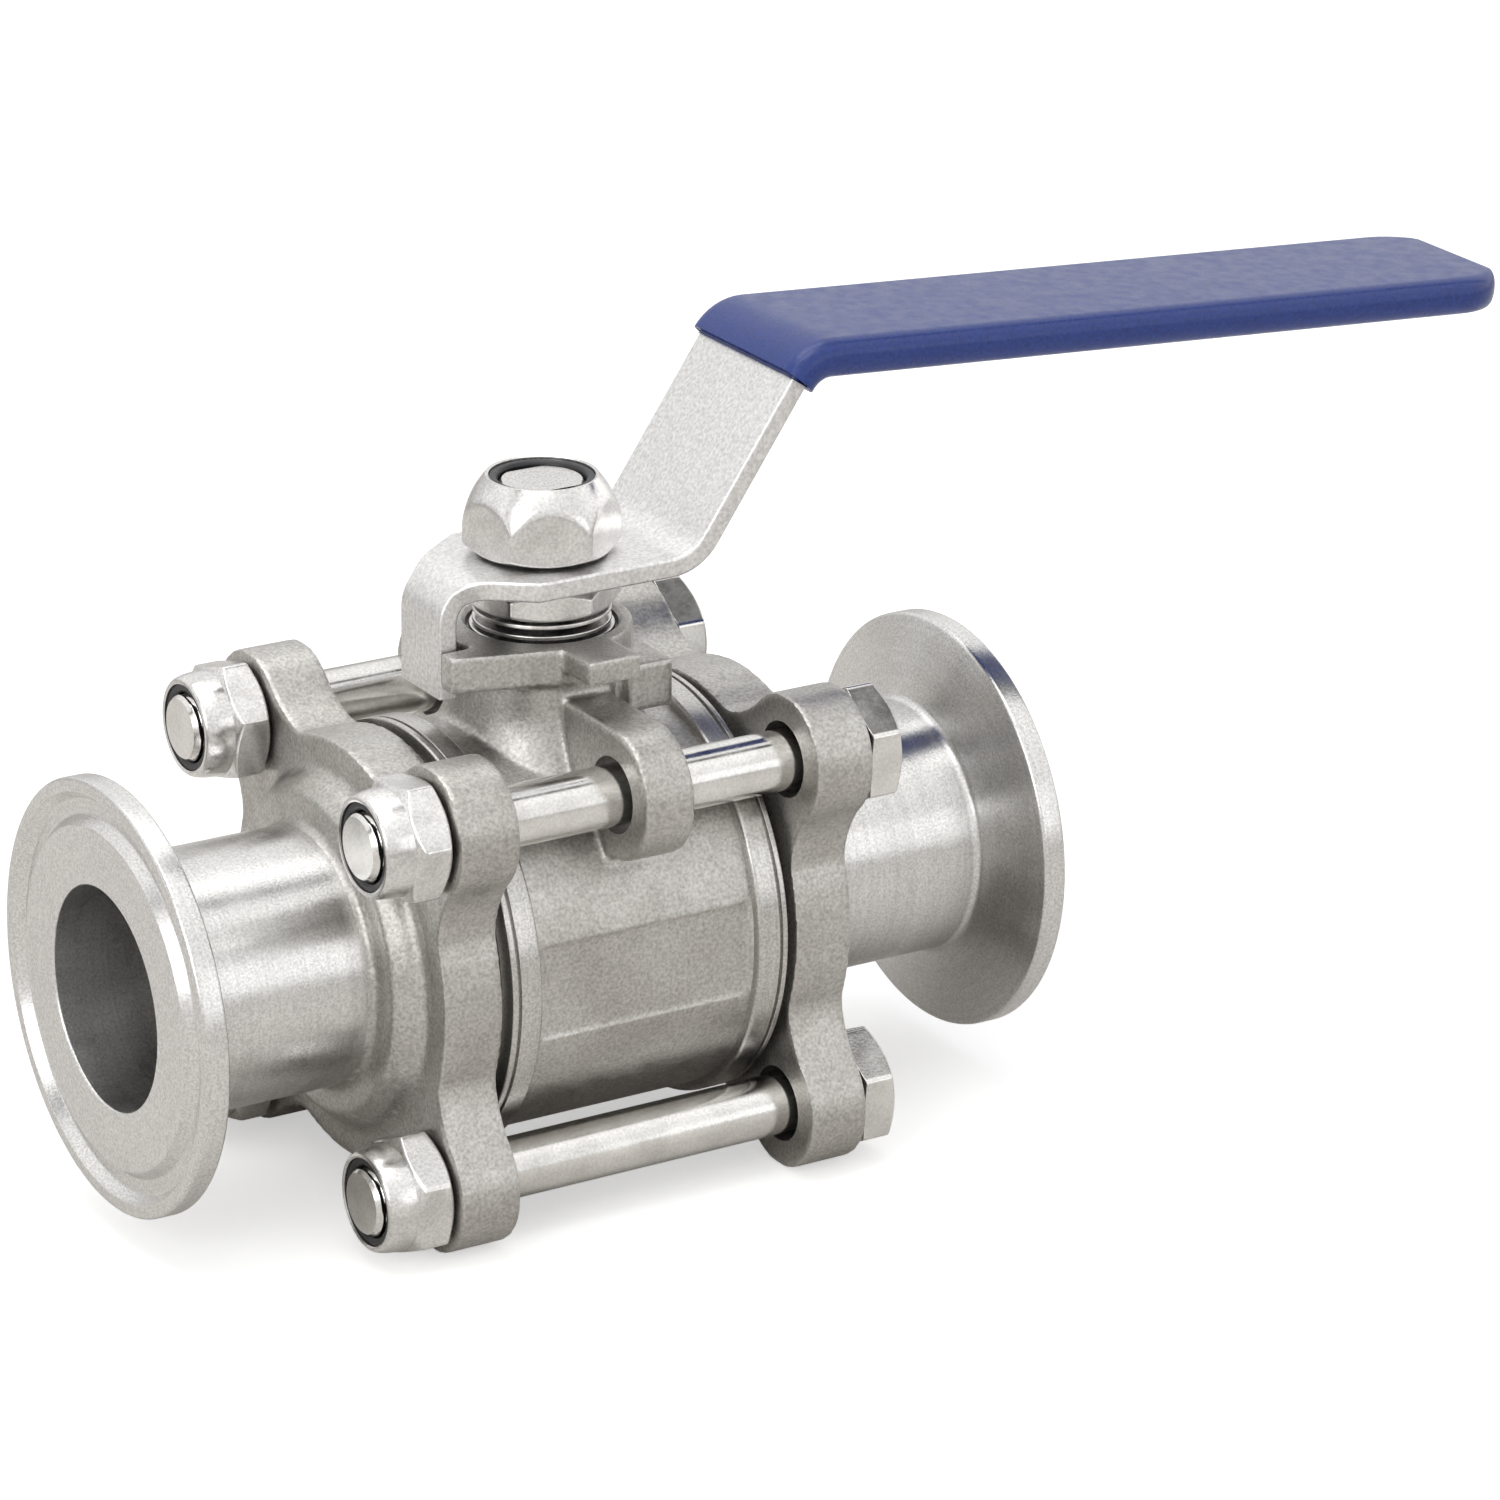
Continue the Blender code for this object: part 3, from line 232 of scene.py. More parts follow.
def soft_min(a, b, soft=CORNER_SOFT):
    """The smaller of two radii, with a small rounding where they cross."""
    share = max(soft - abs(a - b), 0.0) / soft
    return min(a, b) - share * share * soft / 4


def hexagonal(across, turn):
    """Six flats, with the first corner at the turn angle."""
    def limit(place, radius, angle):
        off_middle = abs((angle - turn) % SECTOR - SECTOR / 2)
        here = across / 2 / math.cos(off_middle)
        beside = across / 2 / math.cos(SECTOR - off_middle)
        return soft_min(radius, soft_min(here, beside))
    return limit


def flatted(half, low, high):
    """Two flats that face along Y, between two places."""
    def limit(place, radius, angle):
        if low <= place <= high:
            return min(radius, half / max(abs(math.sin(angle)), TINY))
        return radius
    return limit


def threaded(outer, pitch, depth, low, high):
    """Helical groove in the surface of that outer radius, between two places."""
    def limit(place, radius, angle):
        if radius < outer - depth or not low <= place <= high:
            return radius
        phase = (place / pitch - angle / math.tau) % 1.0
        return min(radius, outer - depth * abs(2.0 * phase - 1.0))
    return limit


def hex_spokes(turn):
    """Directions that crowd round the six corners."""
    steps = range(SPOKES_PER_FLAT)
    sway = [math.sin(QUARTER * (2 * k / SPOKES_PER_FLAT - 1)) for k in steps]
    return [turn + SECTOR * (i + 0.5 + s / 2) for i in range(6) for s in sway]


def dense(profile, step):
    """The same open outline with extra points, so that no stretch is longer than the step."""
    points = [Vector(point) for point in profile]
    filled = []
    for a, b in zip(points, points[1:]):
        parts = max(1, math.ceil((b - a).length / step))
        filled += [a.lerp(b, i / parts) for i in range(parts)]
    return [*filled, points[-1]]


# %% [markdown]
# ## Casting: fuse, soften, then machine
#
# A lost-wax casting has no hard corners: ribs, ears and neck flow into each other. Fillets
# could be modelled one by one, but it is quicker to do what the wax does. Plain solids are
# put in place, a voxel remesh fuses them into one skin, and a few smoothing passes melt the
# corners. The bores are cut last, as on the real part, so that their edges stay crisp.

# %% Cast a piece and machine its holes
VOXEL = 0.36 * MM
MELT_PASSES = 5
MELT_FACTOR = 0.5


def baked(piece):
    """Apply all modifiers of a piece to its mesh."""
    graph = bpy.context.evaluated_depsgraph_get()
    piece.data = bpy.data.meshes.new_from_object(piece.evaluated_get(graph))
    piece.modifiers.clear()


def machined(piece, cutters):
    """Cut each tool from the piece, then put the tools away."""
    for tool in cutters:
        tool.hide_render = True
        step = piece.modifiers.new("cut", "BOOLEAN")
        step.operation = "DIFFERENCE"
        step.solver = "EXACT"
        step.object = tool
    baked(piece)
    for tool in cutters:
        bpy.data.objects.remove(tool, do_unlink=True)


def cast(name, solids, cutters):
    """Fuse solids that run into each other, melt their corners and machine the holes."""
    form = bmesh.new()
    for solid in solids:
        form.from_mesh(solid.data)
        bpy.data.objects.remove(solid, do_unlink=True)
    piece = placed(name, form)
    skin = piece.modifiers.new("skin", "REMESH")
    skin.mode = "VOXEL"
    skin.voxel_size = VOXEL
    melt = piece.modifiers.new("melt", "SMOOTH")
    melt.factor = MELT_FACTOR
    melt.iterations = MELT_PASSES
    baked(piece)
    machined(piece, cutters)
    print(name, "has", len(piece.data.polygons), "faces")
    return piece


# %% [markdown]
# ## Finishes
#
# Every finish is a small node tree over a Principled shader. One helper adds a node and
# fills its sockets, so that each finish reads as a list of what makes it: grain, rings,
# smudges. The pattern is read in the piece's own metres, so the grain has its real size.

# %% A helper that adds nodes
SHARP_EDGE = math.radians(34.0)


def add(tree, kind, values, **options):
    """Add one node. Values fill its sockets with numbers or links."""
    made = tree.nodes.new(kind)
    for option, value in options.items():
        setattr(made, option, value)
    for socket, value in values.items():
        if isinstance(value, bpy.types.NodeSocket):
            tree.links.new(value, made.inputs[socket])
        else:
            made.inputs[socket].default_value = value
    return made.outputs


def new_finish(name, metallic):
    """Material, its node tree, its shader and the place on the piece in metres."""
    made = bpy.data.materials.new(name)
    made.use_nodes = True
    tree = made.node_tree
    shader = tree.nodes["Principled BSDF"]
    shader.inputs["Metallic"].default_value = metallic
    place = add(tree, "ShaderNodeTexCoord", {})["Object"]
    return made, tree, shader, place


def grain(tree, place, per_metre, detail=2.0):
    """Noise of so many bumps a metre, from 0 to 1."""
    values = {"Vector": place, "Scale": per_metre, "Detail": detail}
    return add(tree, "ShaderNodeTexNoise", values)["Fac"]


def spread(tree, value, low, high, start=0.3, end=0.7):
    """Stretch a noise value over a range of roughness."""
    return add(tree, "ShaderNodeMapRange", {
        "Value": value, "From Min": start, "From Max": end, "To Min": low, "To Max": high,
    })["Result"]


def mixed(tree, share, first, second, blend="MIX"):
    """Mix two colours by a share from 0 to 1."""
    values = {0: share, 6: first, 7: second}
    return add(tree, "ShaderNodeMix", values, data_type="RGBA", blend_type=blend)[2]


def tinted(tree, value, dark, light, start=0.3, end=0.7):
    """Run from a dark to a light colour with a noise value."""
    return mixed(tree, spread(tree, value, 0.0, 1.0, start, end), (*dark, 1.0), (*light, 1.0))


def bumped(tree, shader, layers):
    """Stack bump layers of (height, (strength, depth in metres)) on the shader."""
    normal = None
    for height, (strength, depth) in layers:
        values = {"Height": height, "Strength": strength, "Distance": depth}
        if normal:
            values["Normal"] = normal
        normal = add(tree, "ShaderNodeBump", values)["Normal"]
    tree.links.new(normal, shader.inputs["Normal"])


def plug(tree, shader, **sockets):
    """Link values to the shader's sockets, whose spaces are written as underscores."""
    for name, value in sockets.items():
        tree.links.new(value, shader.inputs[name.replace("_", " ")])


# %% [markdown]
# ### Blasted casting
#
# Beads leave a matt, warm grey skin of tiny dents, about three to the millimetre, over the
# slower swell of the wax. Worn edges are a little brighter, and slow blotches of dust dim the
# skin here and there. Pointiness, which tells ridges from hollows, finds the worn edges.

# %% Blasted casting finish
CAST_DARK = (0.35, 0.34, 0.325)
CAST_LIGHT = (0.62, 0.61, 0.59)
CAST_WORN = (0.74, 0.73, 0.71, 1.0)
DUST = (0.82, 0.81, 0.79)
CLEAN = (1.0, 1.0, 1.0)
BEAD_GRAIN = 2600.0
WAX_SWELL = 420.0
STAIN_GRAIN = 90.0
BEAD_RELIEF = (0.55, 0.00006)
SWELL_RELIEF = (0.35, 0.00020)
RIDGE_RANGE = (0.53, 0.60)
WORN_SHARE = 0.55
CAST_ROUGH = (0.36, 0.48)


def blasted_casting():
    """Warm grey skin of bead dents, worn bright on its ridges."""
    made, tree, shader, place = new_finish("blasted_casting", 1.0)
    beads = grain(tree, place, BEAD_GRAIN, 3.0)
    swell = grain(tree, place, WAX_SWELL)
    stains = grain(tree, place, STAIN_GRAIN, 4.0)
    colour = tinted(tree, beads, CAST_DARK, CAST_LIGHT, 0.22, 0.66)
    colour = mixed(tree, 1.0, colour, tinted(tree, stains, DUST, CLEAN), "MULTIPLY")
    ridge = add(tree, "ShaderNodeNewGeometry", {})["Pointiness"]
    worn = spread(tree, ridge, 0.0, WORN_SHARE, *RIDGE_RANGE)
    colour = mixed(tree, worn, colour, CAST_WORN)
    plug(tree, shader, Base_Color=colour, Roughness=spread(tree, swell, *CAST_ROUGH))
    bumped(tree, shader, [(swell, SWELL_RELIEF), (beads, BEAD_RELIEF)])
    return made


# %% [markdown]
# ### Turned steel
#
# A lathe leaves fine rings. Their pattern depends only on the place along the pipe and on
# the distance from it, so a noise over those two numbers draws true rings on the tube, the
# cone and the flat face alike. The rings also stretch reflections across them, which is
# what the anisotropic value with a radial tangent does.

# %% Turned steel finish
RING_GRAIN = 2600.0
BAND_GRAIN = RING_GRAIN / 9.0
SMUDGE_GRAIN = 160.0
SPECK_GRAIN = 3600.0
SPECK_SHARE = 0.75
BAND_RELIEF = (0.06, 0.00006)
RING_RELIEF = (0.14, 0.00002)
SPECK_RELIEF = (0.30, 0.00003)
RING_STRETCH = 0.7
ACROSS_RINGS = 0.25


def turned_steel(name, dark, light, rough, axis="X"):
    """Lathe rings round an axis, with fine specks and a few smudges."""
    made, tree, shader, place = new_finish(name, 1.0)
    parts = add(tree, "ShaderNodeSeparateXYZ", {"Vector": place})
    beside = parts["Z" if axis == "X" else "X"]
    flat = add(tree, "ShaderNodeCombineXYZ", {"X": parts["Y"], "Y": beside})["Vector"]
    radius = add(tree, "ShaderNodeVectorMath", {0: flat}, operation="LENGTH")["Value"]
    ring_place = add(tree, "ShaderNodeCombineXYZ", {"X": parts[axis], "Y": radius})["Vector"]
    rings = grain(tree, ring_place, RING_GRAIN, 3.0)
    bands = grain(tree, ring_place, BAND_GRAIN)
    smudges = grain(tree, place, SMUDGE_GRAIN, 4.0)
    specks = grain(tree, place, SPECK_GRAIN)
    half = add(tree, "ShaderNodeMix", {0: SPECK_SHARE, 2: rings, 3: specks})["Result"]
    worn = add(tree, "ShaderNodeMath", {0: bands, 1: smudges}, operation="MULTIPLY")["Value"]
    plug(tree, shader, Base_Color=tinted(tree, half, dark, light, 0.36, 0.62),
         Roughness=spread(tree, worn, *rough, 0.12, 0.40))
    shader.inputs["Anisotropic"].default_value = RING_STRETCH
    shader.inputs["Anisotropic Rotation"].default_value = ACROSS_RINGS
    tangent = add(tree, "ShaderNodeTangent", {}, direction_type="RADIAL", axis=axis)["Tangent"]
    plug(tree, shader, Tangent=tangent)
    bumped(tree, shader, [(bands, BAND_RELIEF), (rings, RING_RELIEF), (specks, SPECK_RELIEF)])
    return made


# %% [markdown]
# ### Bright fasteners
#
# Nuts and bolts are bright drawn stainless. They are smooth, with faint smudges that break
# the reflections up and a few tool marks. One noise for each of the two is enough.

# %% Bright steel finish
HAND_GRAIN = 260.0
TOOL_GRAIN = 3000.0
HAND_RELIEF = (0.10, 0.00010)
TOOL_RELIEF = (0.25, 0.00002)


def bright_steel(name, dark, light, rough):
    """Smooth steel with smudges and tool marks."""
    made, tree, shader, place = new_finish(name, 1.0)
    smudges = grain(tree, place, HAND_GRAIN, 5.0)
    marks = grain(tree, place, TOOL_GRAIN, 2.0)
    both = add(tree, "ShaderNodeMix", {0: 0.5, 2: smudges, 3: marks})["Result"]
    plug(tree, shader, Base_Color=tinted(tree, both, dark, light, 0.36, 0.64),
         Roughness=spread(tree, smudges, *rough))
    bumped(tree, shader, [(smudges, HAND_RELIEF), (marks, TOOL_RELIEF)])
    return made


# %% [markdown]
# ### Rolled plate
#
# The lever is stamped from rolled sheet and tumbled, so it is pale and satin. Streaks along
# the arm come from a noise that is drawn out that way, and the tumbling is a fine even
# grain over them.

# %% Rolled plate finish
PLATE_DARK = (0.56, 0.555, 0.55)
PLATE_LIGHT = (0.84, 0.835, 0.83)
TUMBLE_GRAIN = 2400.0
SHEET_SWELL = 300.0
STREAK_GRAIN = 1800.0
STREAK_SQUEEZE = (0.08, 1.0, 0.08)
SHEET_RELIEF = (0.18, 0.00015)
STREAK_RELIEF = (0.14, 0.00003)
TUMBLE_RELIEF = (0.45, 0.00005)
PLATE_ROUGH = (0.32, 0.44)


def rolled_plate():
    """Pale satin sheet with rolling streaks and a tumbled grain."""
    made, tree, shader, place = new_finish("rolled_plate", 1.0)
    tumble = grain(tree, place, TUMBLE_GRAIN, 3.0)
    swell = grain(tree, place, SHEET_SWELL)
    drawn = add(tree, "ShaderNodeMapping", {"Vector": place, "Scale": STREAK_SQUEEZE})["Vector"]
    streaks = grain(tree, drawn, STREAK_GRAIN, 2.0)
    plug(tree, shader, Base_Color=tinted(tree, tumble, PLATE_DARK, PLATE_LIGHT, 0.25, 0.68),
         Roughness=spread(tree, swell, *PLATE_ROUGH))
    layers = [(swell, SHEET_RELIEF), (streaks, STREAK_RELIEF), (tumble, TUMBLE_RELIEF)]
    bumped(tree, shader, layers)
    return made


# %% [markdown]
# ### Dipped vinyl
#
# The grip is dipped into liquid vinyl and baked. It comes out glossy with a faint orange
# peel and gathers dust, so a slow noise makes the peel, a fine one the dust, and a thin
# coat the gloss.

# %% Dipped vinyl finish
VINYL_DARK = (0.005, 0.023, 0.160)
VINYL_LIGHT = (0.014, 0.046, 0.255)
PEEL_GRAIN = 520.0
DUST_GRAIN = 2600.0
PEEL_RELIEF = (0.10, 0.00020)
DUST_RELIEF = (0.22, 0.00004)
VINYL_ROUGH = (0.24, 0.38)
COAT = {"Coat Weight": 0.12, "Coat Roughness": 0.15}


def dipped_vinyl():
    """Glossy blue skin with orange peel and dust."""
    made, tree, shader, place = new_finish("dipped_vinyl", 0.0)
    peel = grain(tree, place, PEEL_GRAIN)
    dust = grain(tree, place, DUST_GRAIN, 3.0)
    plug(tree, shader, Base_Color=tinted(tree, dust, VINYL_DARK, VINYL_LIGHT, 0.30, 0.70),
         Roughness=spread(tree, peel, *VINYL_ROUGH))
    for socket, value in COAT.items():
        shader.inputs[socket].default_value = value
    bumped(tree, shader, [(peel, PEEL_RELIEF), (dust, DUST_RELIEF)])
    return made


# %% [markdown]
# ### Nylon and seats, and all finishes by name
#
# The nut rings and the seats are plain plastics with a slight mottle, so they share one
# recipe. Each finish is then made once under its own name, and the pieces use it by that
# name.

# %% Soft plastics and the list of finishes
MOTTLE_GRAIN = 900.0
MOTTLE_RELIEF = (0.2, 0.00003)
MOTTLE_ROUGH = 0.12


def soft_plastic(name, dark, light, rough):
    """Plain plastic with a slight mottle."""
    made, tree, shader, place = new_finish(name, 0.0)
    mottle = grain(tree, place, MOTTLE_GRAIN, 3.0)
    plug(tree, shader, Base_Color=tinted(tree, mottle, dark, light),
         Roughness=spread(tree, mottle, rough, rough + MOTTLE_ROUGH))
    bumped(tree, shader, [(mottle, MOTTLE_RELIEF)])
    return made


CASTING = blasted_casting()
TUBE_STEEL = turned_steel("turned_tube", dark=(0.54, 0.535, 0.525), light=(0.76, 0.755, 0.745),
                          rough=(0.25, 0.31))
RIM_STEEL = turned_steel("turned_rim", dark=(0.42, 0.41, 0.395), light=(0.64, 0.63, 0.61),
                         rough=(0.28, 0.36))
STEM_STEEL = turned_steel("turned_stem", dark=(0.50, 0.49, 0.48), light=(0.76, 0.75, 0.74),
                          rough=(0.16, 0.28), axis="Z")
NUT_STEEL = bright_steel("bright_nut", dark=(0.54, 0.53, 0.52), light=(0.82, 0.81, 0.80),
                         rough=(0.16, 0.27))
ROD_STEEL = bright_steel("bright_rod", dark=(0.62, 0.61, 0.59), light=(0.82, 0.81, 0.79),
                         rough=(0.12, 0.21))
BALL_STEEL = bright_steel("polished_ball", dark=(0.70, 0.70, 0.69), light=(0.84, 0.84, 0.83),
                          rough=(0.05, 0.12))
PLATE = rolled_plate()
VINYL = dipped_vinyl()
NYLON = soft_plastic("black_nylon", dark=(0.010, 0.010, 0.012), light=(0.022, 0.022, 0.026), rough=0.34)
SEAT_WHITE = soft_plastic("white_seat", dark=(0.74, 0.74, 0.71), light=(0.86, 0.86, 0.83), rough=0.38)
print("finishes:", len(bpy.data.materials))

# %% [markdown]
# ## Putting a piece in place
#
# Every finished piece goes through the same steps: it gets its finish, it rides on the
# fixed or the turning body, and it stands for the plain piece of the frame. Both ends of
# the valve are alike, so the left one is the mirror image of the right one.

# %% Put a piece on its body


def settle(piece, body, finish, slot, *nodes):
    """Give the piece its finish, let it ride on a body and stand for its nodes."""
    piece.data.materials.clear()
    piece.data.materials.append(finish)
    piece.data.shade_smooth()
    piece.data.set_sharp_from_angle(angle=SHARP_EDGE)
    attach(piece, body)
    if nodes:
        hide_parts(*nodes)


def flipped(name, piece):
    """Mirror image of a piece in the plane across the pipe."""
    form = bmesh.new()
    form.from_mesh(piece.data)
    bmesh.ops.scale(form, vec=Vector((-1, 1, 1)), verts=form.verts)
    bmesh.ops.reverse_faces(form, faces=form.faces)
    return placed(name, form)


# %% [markdown]
# ## Tube stubs with their clamp ferrules
#
# Each end is a turned stub: tube, short neck, cone and a rim with a gasket groove. It could
# be part of the cast cap, but the lathe left it bright while the cap is matt, so it is a
# piece of its own that starts inside the cap's hub.

# %% Turn the stubs
HALF_RUN = 56.5
BORE_R = 13.0
TUBE_R = 15.2
RIM_R = 25.25
RIM_THICK = 2.85
CONE_LONG = 2.8
NECK_LONG = 1.0
GROOVE_MIDDLE = RIM_R - 3.5
GROOVE_WIDE = 3.8
GROOVE_FLOOR = 1.8
GROOVE_DEEP = 1.3
STUB_START = 30.6
NECK_EDGE = 0.3
BACK_EDGE = 0.5
RIM_EDGE = 0.45
GROOVE_LIP = 0.2
GROOVE_ROUND = 0.4
MOUTH_EDGE = 0.35

rim_back = HALF_RUN - RIM_THICK
cone_end = rim_back - CONE_LONG
groove_floor = HALF_RUN - GROOVE_DEEP
stub_profile = rounded([
    (STUB_START, BORE_R),
    (STUB_START, TUBE_R),
    (cone_end, TUBE_R, NECK_LONG),
    (cone_end + NECK_LONG / 4, TUBE_R + 1.5 * NECK_LONG, NECK_EDGE),
    (rim_back, RIM_R, BACK_EDGE),
    (HALF_RUN, RIM_R, RIM_EDGE),
    (HALF_RUN, GROOVE_MIDDLE + GROOVE_WIDE / 2, GROOVE_LIP),
    (groove_floor, GROOVE_MIDDLE + GROOVE_FLOOR / 2, GROOVE_ROUND),
    (groove_floor, GROOVE_MIDDLE - GROOVE_FLOOR / 2, GROOVE_ROUND),
    (HALF_RUN, GROOVE_MIDDLE - GROOVE_WIDE / 2, GROOVE_LIP),
    (HALF_RUN, BORE_R, MOUTH_EDGE),
])
stub_right = turned("clamp_stub_right", stub_profile)
stub_left = flipped("clamp_stub_left", stub_right)
print("stub outline points:", len(stub_profile))

# %% [markdown]
# ## Cast end caps
#
# An end cap is a round flange with four ears, and a rounded hub that carries the stub. The
# outline is drawn once for an eighth of the flange and repeated, then pushed to its
# thickness and fused with the hub.

# %% Outline of the eared flange
BOLT_REACH = 21.4
EAR_R = 7.7
CAP_R = 25.0
CAP_FACE = 19.3
CAP_OUTER = 26.8
CAP_EAR_FILLET = 12.0
CAP_CREASE = math.radians(20.5)
EAR_HOLE_R = 4.5
BOLT_PLACES = {
    "front_lower": (-BOLT_REACH, -BOLT_REACH),
    "back_lower": (BOLT_REACH, -BOLT_REACH),
    "front_upper": (-BOLT_REACH, BOLT_REACH),
    "back_upper": (BOLT_REACH, BOLT_REACH),
}


def ear_blend(core, crease, fillet):
    """Arc from a crease on the round core to the ear: its middle, first and last angle."""
    foot = Vector((core * math.cos(crease), core * math.sin(crease)))
    away = Vector((BOLT_REACH, BOLT_REACH)) - foot
    to_ear = EAR_R + fillet
    bend = math.acos((fillet ** 2 + away.length ** 2 - to_ear ** 2) / (2 * fillet * away.length))
    heading = math.atan2(away.y, away.x) - bend
    middle = foot + Vector((math.cos(heading), math.sin(heading))) * fillet
    return middle, heading + math.pi, math.atan2(BOLT_REACH - middle.y, BOLT_REACH - middle.x)


def cap_outline():
    """Round flange with four ears. A crease is left where an ear's underside meets it."""
    middle, first, last = ear_blend(CAP_R, CAP_CREASE, CAP_EAR_FILLET)
    ear = (BOLT_REACH, BOLT_REACH)
    eighth = [
        *arc((0.0, 0.0), CAP_R, 0.0, CAP_CREASE)[:-1],
        *arc(middle, CAP_EAR_FILLET, first, last),
        *arc(ear, EAR_R, last - math.pi, EIGHTH)[1:],
    ]
    quarter = [*eighth, *[Vector((b, a)) for a, b in reversed(eighth)][1:-1]]
    outline = []
    for number in range(4):
        outline += [Matrix.Rotation(QUARTER * number, 2) @ point for point in quarter]
    return outline


print("flange outline points:", len(cap_outline()))

# %% [markdown]
# The cap is cast with its hub and spigot, and the waterway and the bolt holes are drilled
# last. The hub's outline is turned with a swollen foot, so that the melting has something
# to blend, and it ends at the stub's own radius, so that the two run into each other.

# %% Cast the caps
HUB_R = 20.1
HUB_FOOT_R = 22.5
HUB_FOOT_SWELL = 1.5
HUB_FACE = CAP_OUTER + 3.3
HUB_BEVEL_LONG = 1.5
HUB_BEVEL_DEEP = 1.4
HUB_MELT = 1.0
HUB_END = HUB_FACE + 1.4
SPIGOT_FACE = 16.4
SPIGOT_R = 21.9
POCKET_R = 18.2
BEYOND = 1.0
CAP_BORE_R = BORE_R + 0.05

flange = prism("flange", cap_outline(), "X", CAP_FACE, CAP_OUTER)
hub = turned("hub", rounded([
    (SPIGOT_FACE, 0.0),
    (SPIGOT_FACE, SPIGOT_R),
    (CAP_OUTER - BEYOND, SPIGOT_R),
    (CAP_OUTER - BEYOND, HUB_FOOT_R + HUB_FOOT_SWELL),
    (CAP_OUTER, HUB_FOOT_R + HUB_FOOT_SWELL),
    (CAP_OUTER, HUB_FOOT_R - HUB_FOOT_SWELL, HUB_FOOT_SWELL),
    (HUB_FACE - HUB_BEVEL_LONG, HUB_R),
    (HUB_FACE, HUB_R - HUB_BEVEL_DEEP),
    (HUB_FACE, TUBE_R, HUB_MELT),
    (HUB_END, TUBE_R),
    (HUB_END, 0.0),
]))
waterway = turned("waterway", [
    (SPIGOT_FACE - BEYOND, 0.0), (SPIGOT_FACE - BEYOND, POCKET_R), (CAP_FACE, POCKET_R),
    (CAP_FACE, CAP_BORE_R), (HALF_RUN, CAP_BORE_R), (HALF_RUN, 0.0),
])
ear_drills = [
    drill("ear_drill", EAR_HOLE_R, CAP_FACE - BEYOND, CAP_OUTER + BEYOND, middle=place)
    for place in BOLT_PLACES.values()
]
cap_right = cast("cast_cap_right", [flange, hub], [waterway, *ear_drills])
cap_left = flipped("cast_cap_left", cap_right)
for side, cap, stub in (("right", cap_right, stub_right), ("left", cap_left, stub_left)):
    settle(cap, FIXED, CASTING, "cap_steel", f"end_cap_{side}")
    settle(stub, FIXED, TUBE_STEEL, "cap_steel", f"end_cap_{side}")

# %% [markdown]
# ## Centre body
#
# The body is one casting: a barrel, a web across its top that ends in two ears, and the
# tower with its stop pad, lug and shoulder. Neck and barrel flow into each other, so the
# neck is a loft whose rings widen quickly towards the barrel. The two end rims were turned,
# so they are rings of their own over the casting.

# %% Sizes of the body, and the outline of its web
BARREL_R = 24.1
BARREL_END = 17.9
WEB_HALF = 3.2
WEB_FILLET = 0.8
WEB_ROOT = math.radians(31.2)
CAVITY_R = 19.6
PANEL_HALF = 5.75
PANEL_DEPTH = 23.15
PANEL_REACH = 14.0
PAD_TOP = 35.4
PAD_BOTTOM = 31.0


def web_outline():
    """Web with its two ears, seen along the pipe."""
    middle, first, last = ear_blend(BARREL_R, WEB_ROOT, WEB_FILLET)
    ear = (BOLT_REACH, BOLT_REACH)
    back = [
        Vector((CAVITY_R * math.cos(WEB_ROOT), CAVITY_R * math.sin(WEB_ROOT))),
        *arc(middle, WEB_FILLET, first, last),
        *arc(ear, EAR_R, last - math.pi, QUARTER)[1:],
    ]
    return [*back, *[Vector((-y, z)) for y, z in reversed(back)]]


print("web outline points:", len(web_outline()))

# %% Loft the neck, push the web and turn the barrel


def soft_square(size_x, size_y, corner):
    """Rectangle with round corners."""
    a = size_x / 2
    b = size_y / 2
    return rounded([(-a, -b, corner), (a, -b, corner), (a, b, corner), (-a, b, corner)])


NECK_FOOT = 17.2
NECK_WAIST = 27.5
NECK_SIZE = 20.6
NECK_FOOT_SIZE = (27.0, 30.0)
NECK_CORNER = 8.8
NECK_RINGS = 16
NECK_FLARE = 1.8

neck_rings = []
for number in range(NECK_RINGS + 1):
    share = number / NECK_RINGS
    flare = (1.0 - share) ** NECK_FLARE
    sizes = [NECK_SIZE + (foot - NECK_SIZE) * flare for foot in NECK_FOOT_SIZE]
    height = NECK_FOOT + (NECK_WAIST - NECK_FOOT) * share
    neck_rings.append([(x, y, height) for x, y in soft_square(*sizes, NECK_CORNER)])
top_ring = soft_square(NECK_SIZE, NECK_SIZE, NECK_CORNER)
neck_rings.append([(x, y, PAD_BOTTOM + BEYOND) for x, y in top_ring])
neck = loft("neck", neck_rings)
web = prism("web", web_outline(), "X", -WEB_HALF, WEB_HALF)
barrel = drill("barrel", BARREL_R, -BARREL_END, BARREL_END)
panel_tools = [
    block("panel_tool", (-PANEL_REACH, min(side * PANEL_DEPTH, side * RIM_R), -PANEL_HALF),
          (PANEL_REACH, max(side * PANEL_DEPTH, side * RIM_R), PANEL_HALF))
    for side in (-1, 1)
]
machined(barrel, panel_tools)
print("neck rings:", len(neck_rings))

# %% [markdown]
# The stop pad closes the tower. Its two lobes stop the lever at open and at closed, the lug
# stands out in front, and the small shoulder stands beside the neck. Seen from
# above the pad is a few arcs and straight lines, so it is drawn as an outline and pushed up.

# %% Stop pad, lug and shoulder
TAB_HALF = 4.6
CLEAR = 0.3
STOP_WIDE = 2.7
STOP_REACH = 16.0
STOP_CORNER = 0.9
PAD_BACK = 12.8
PAD_SIDE = 10.4
PAD_FRONT = 10.7
LUG_HALF = 3.4
LUG_REACH = 16.6
LUG_THICK = 2.7
SHOULDER_X = (4.6, 10.5)
SHOULDER_FRONT = 11.8
SHOULDER_Z = (26.5, 32.2)


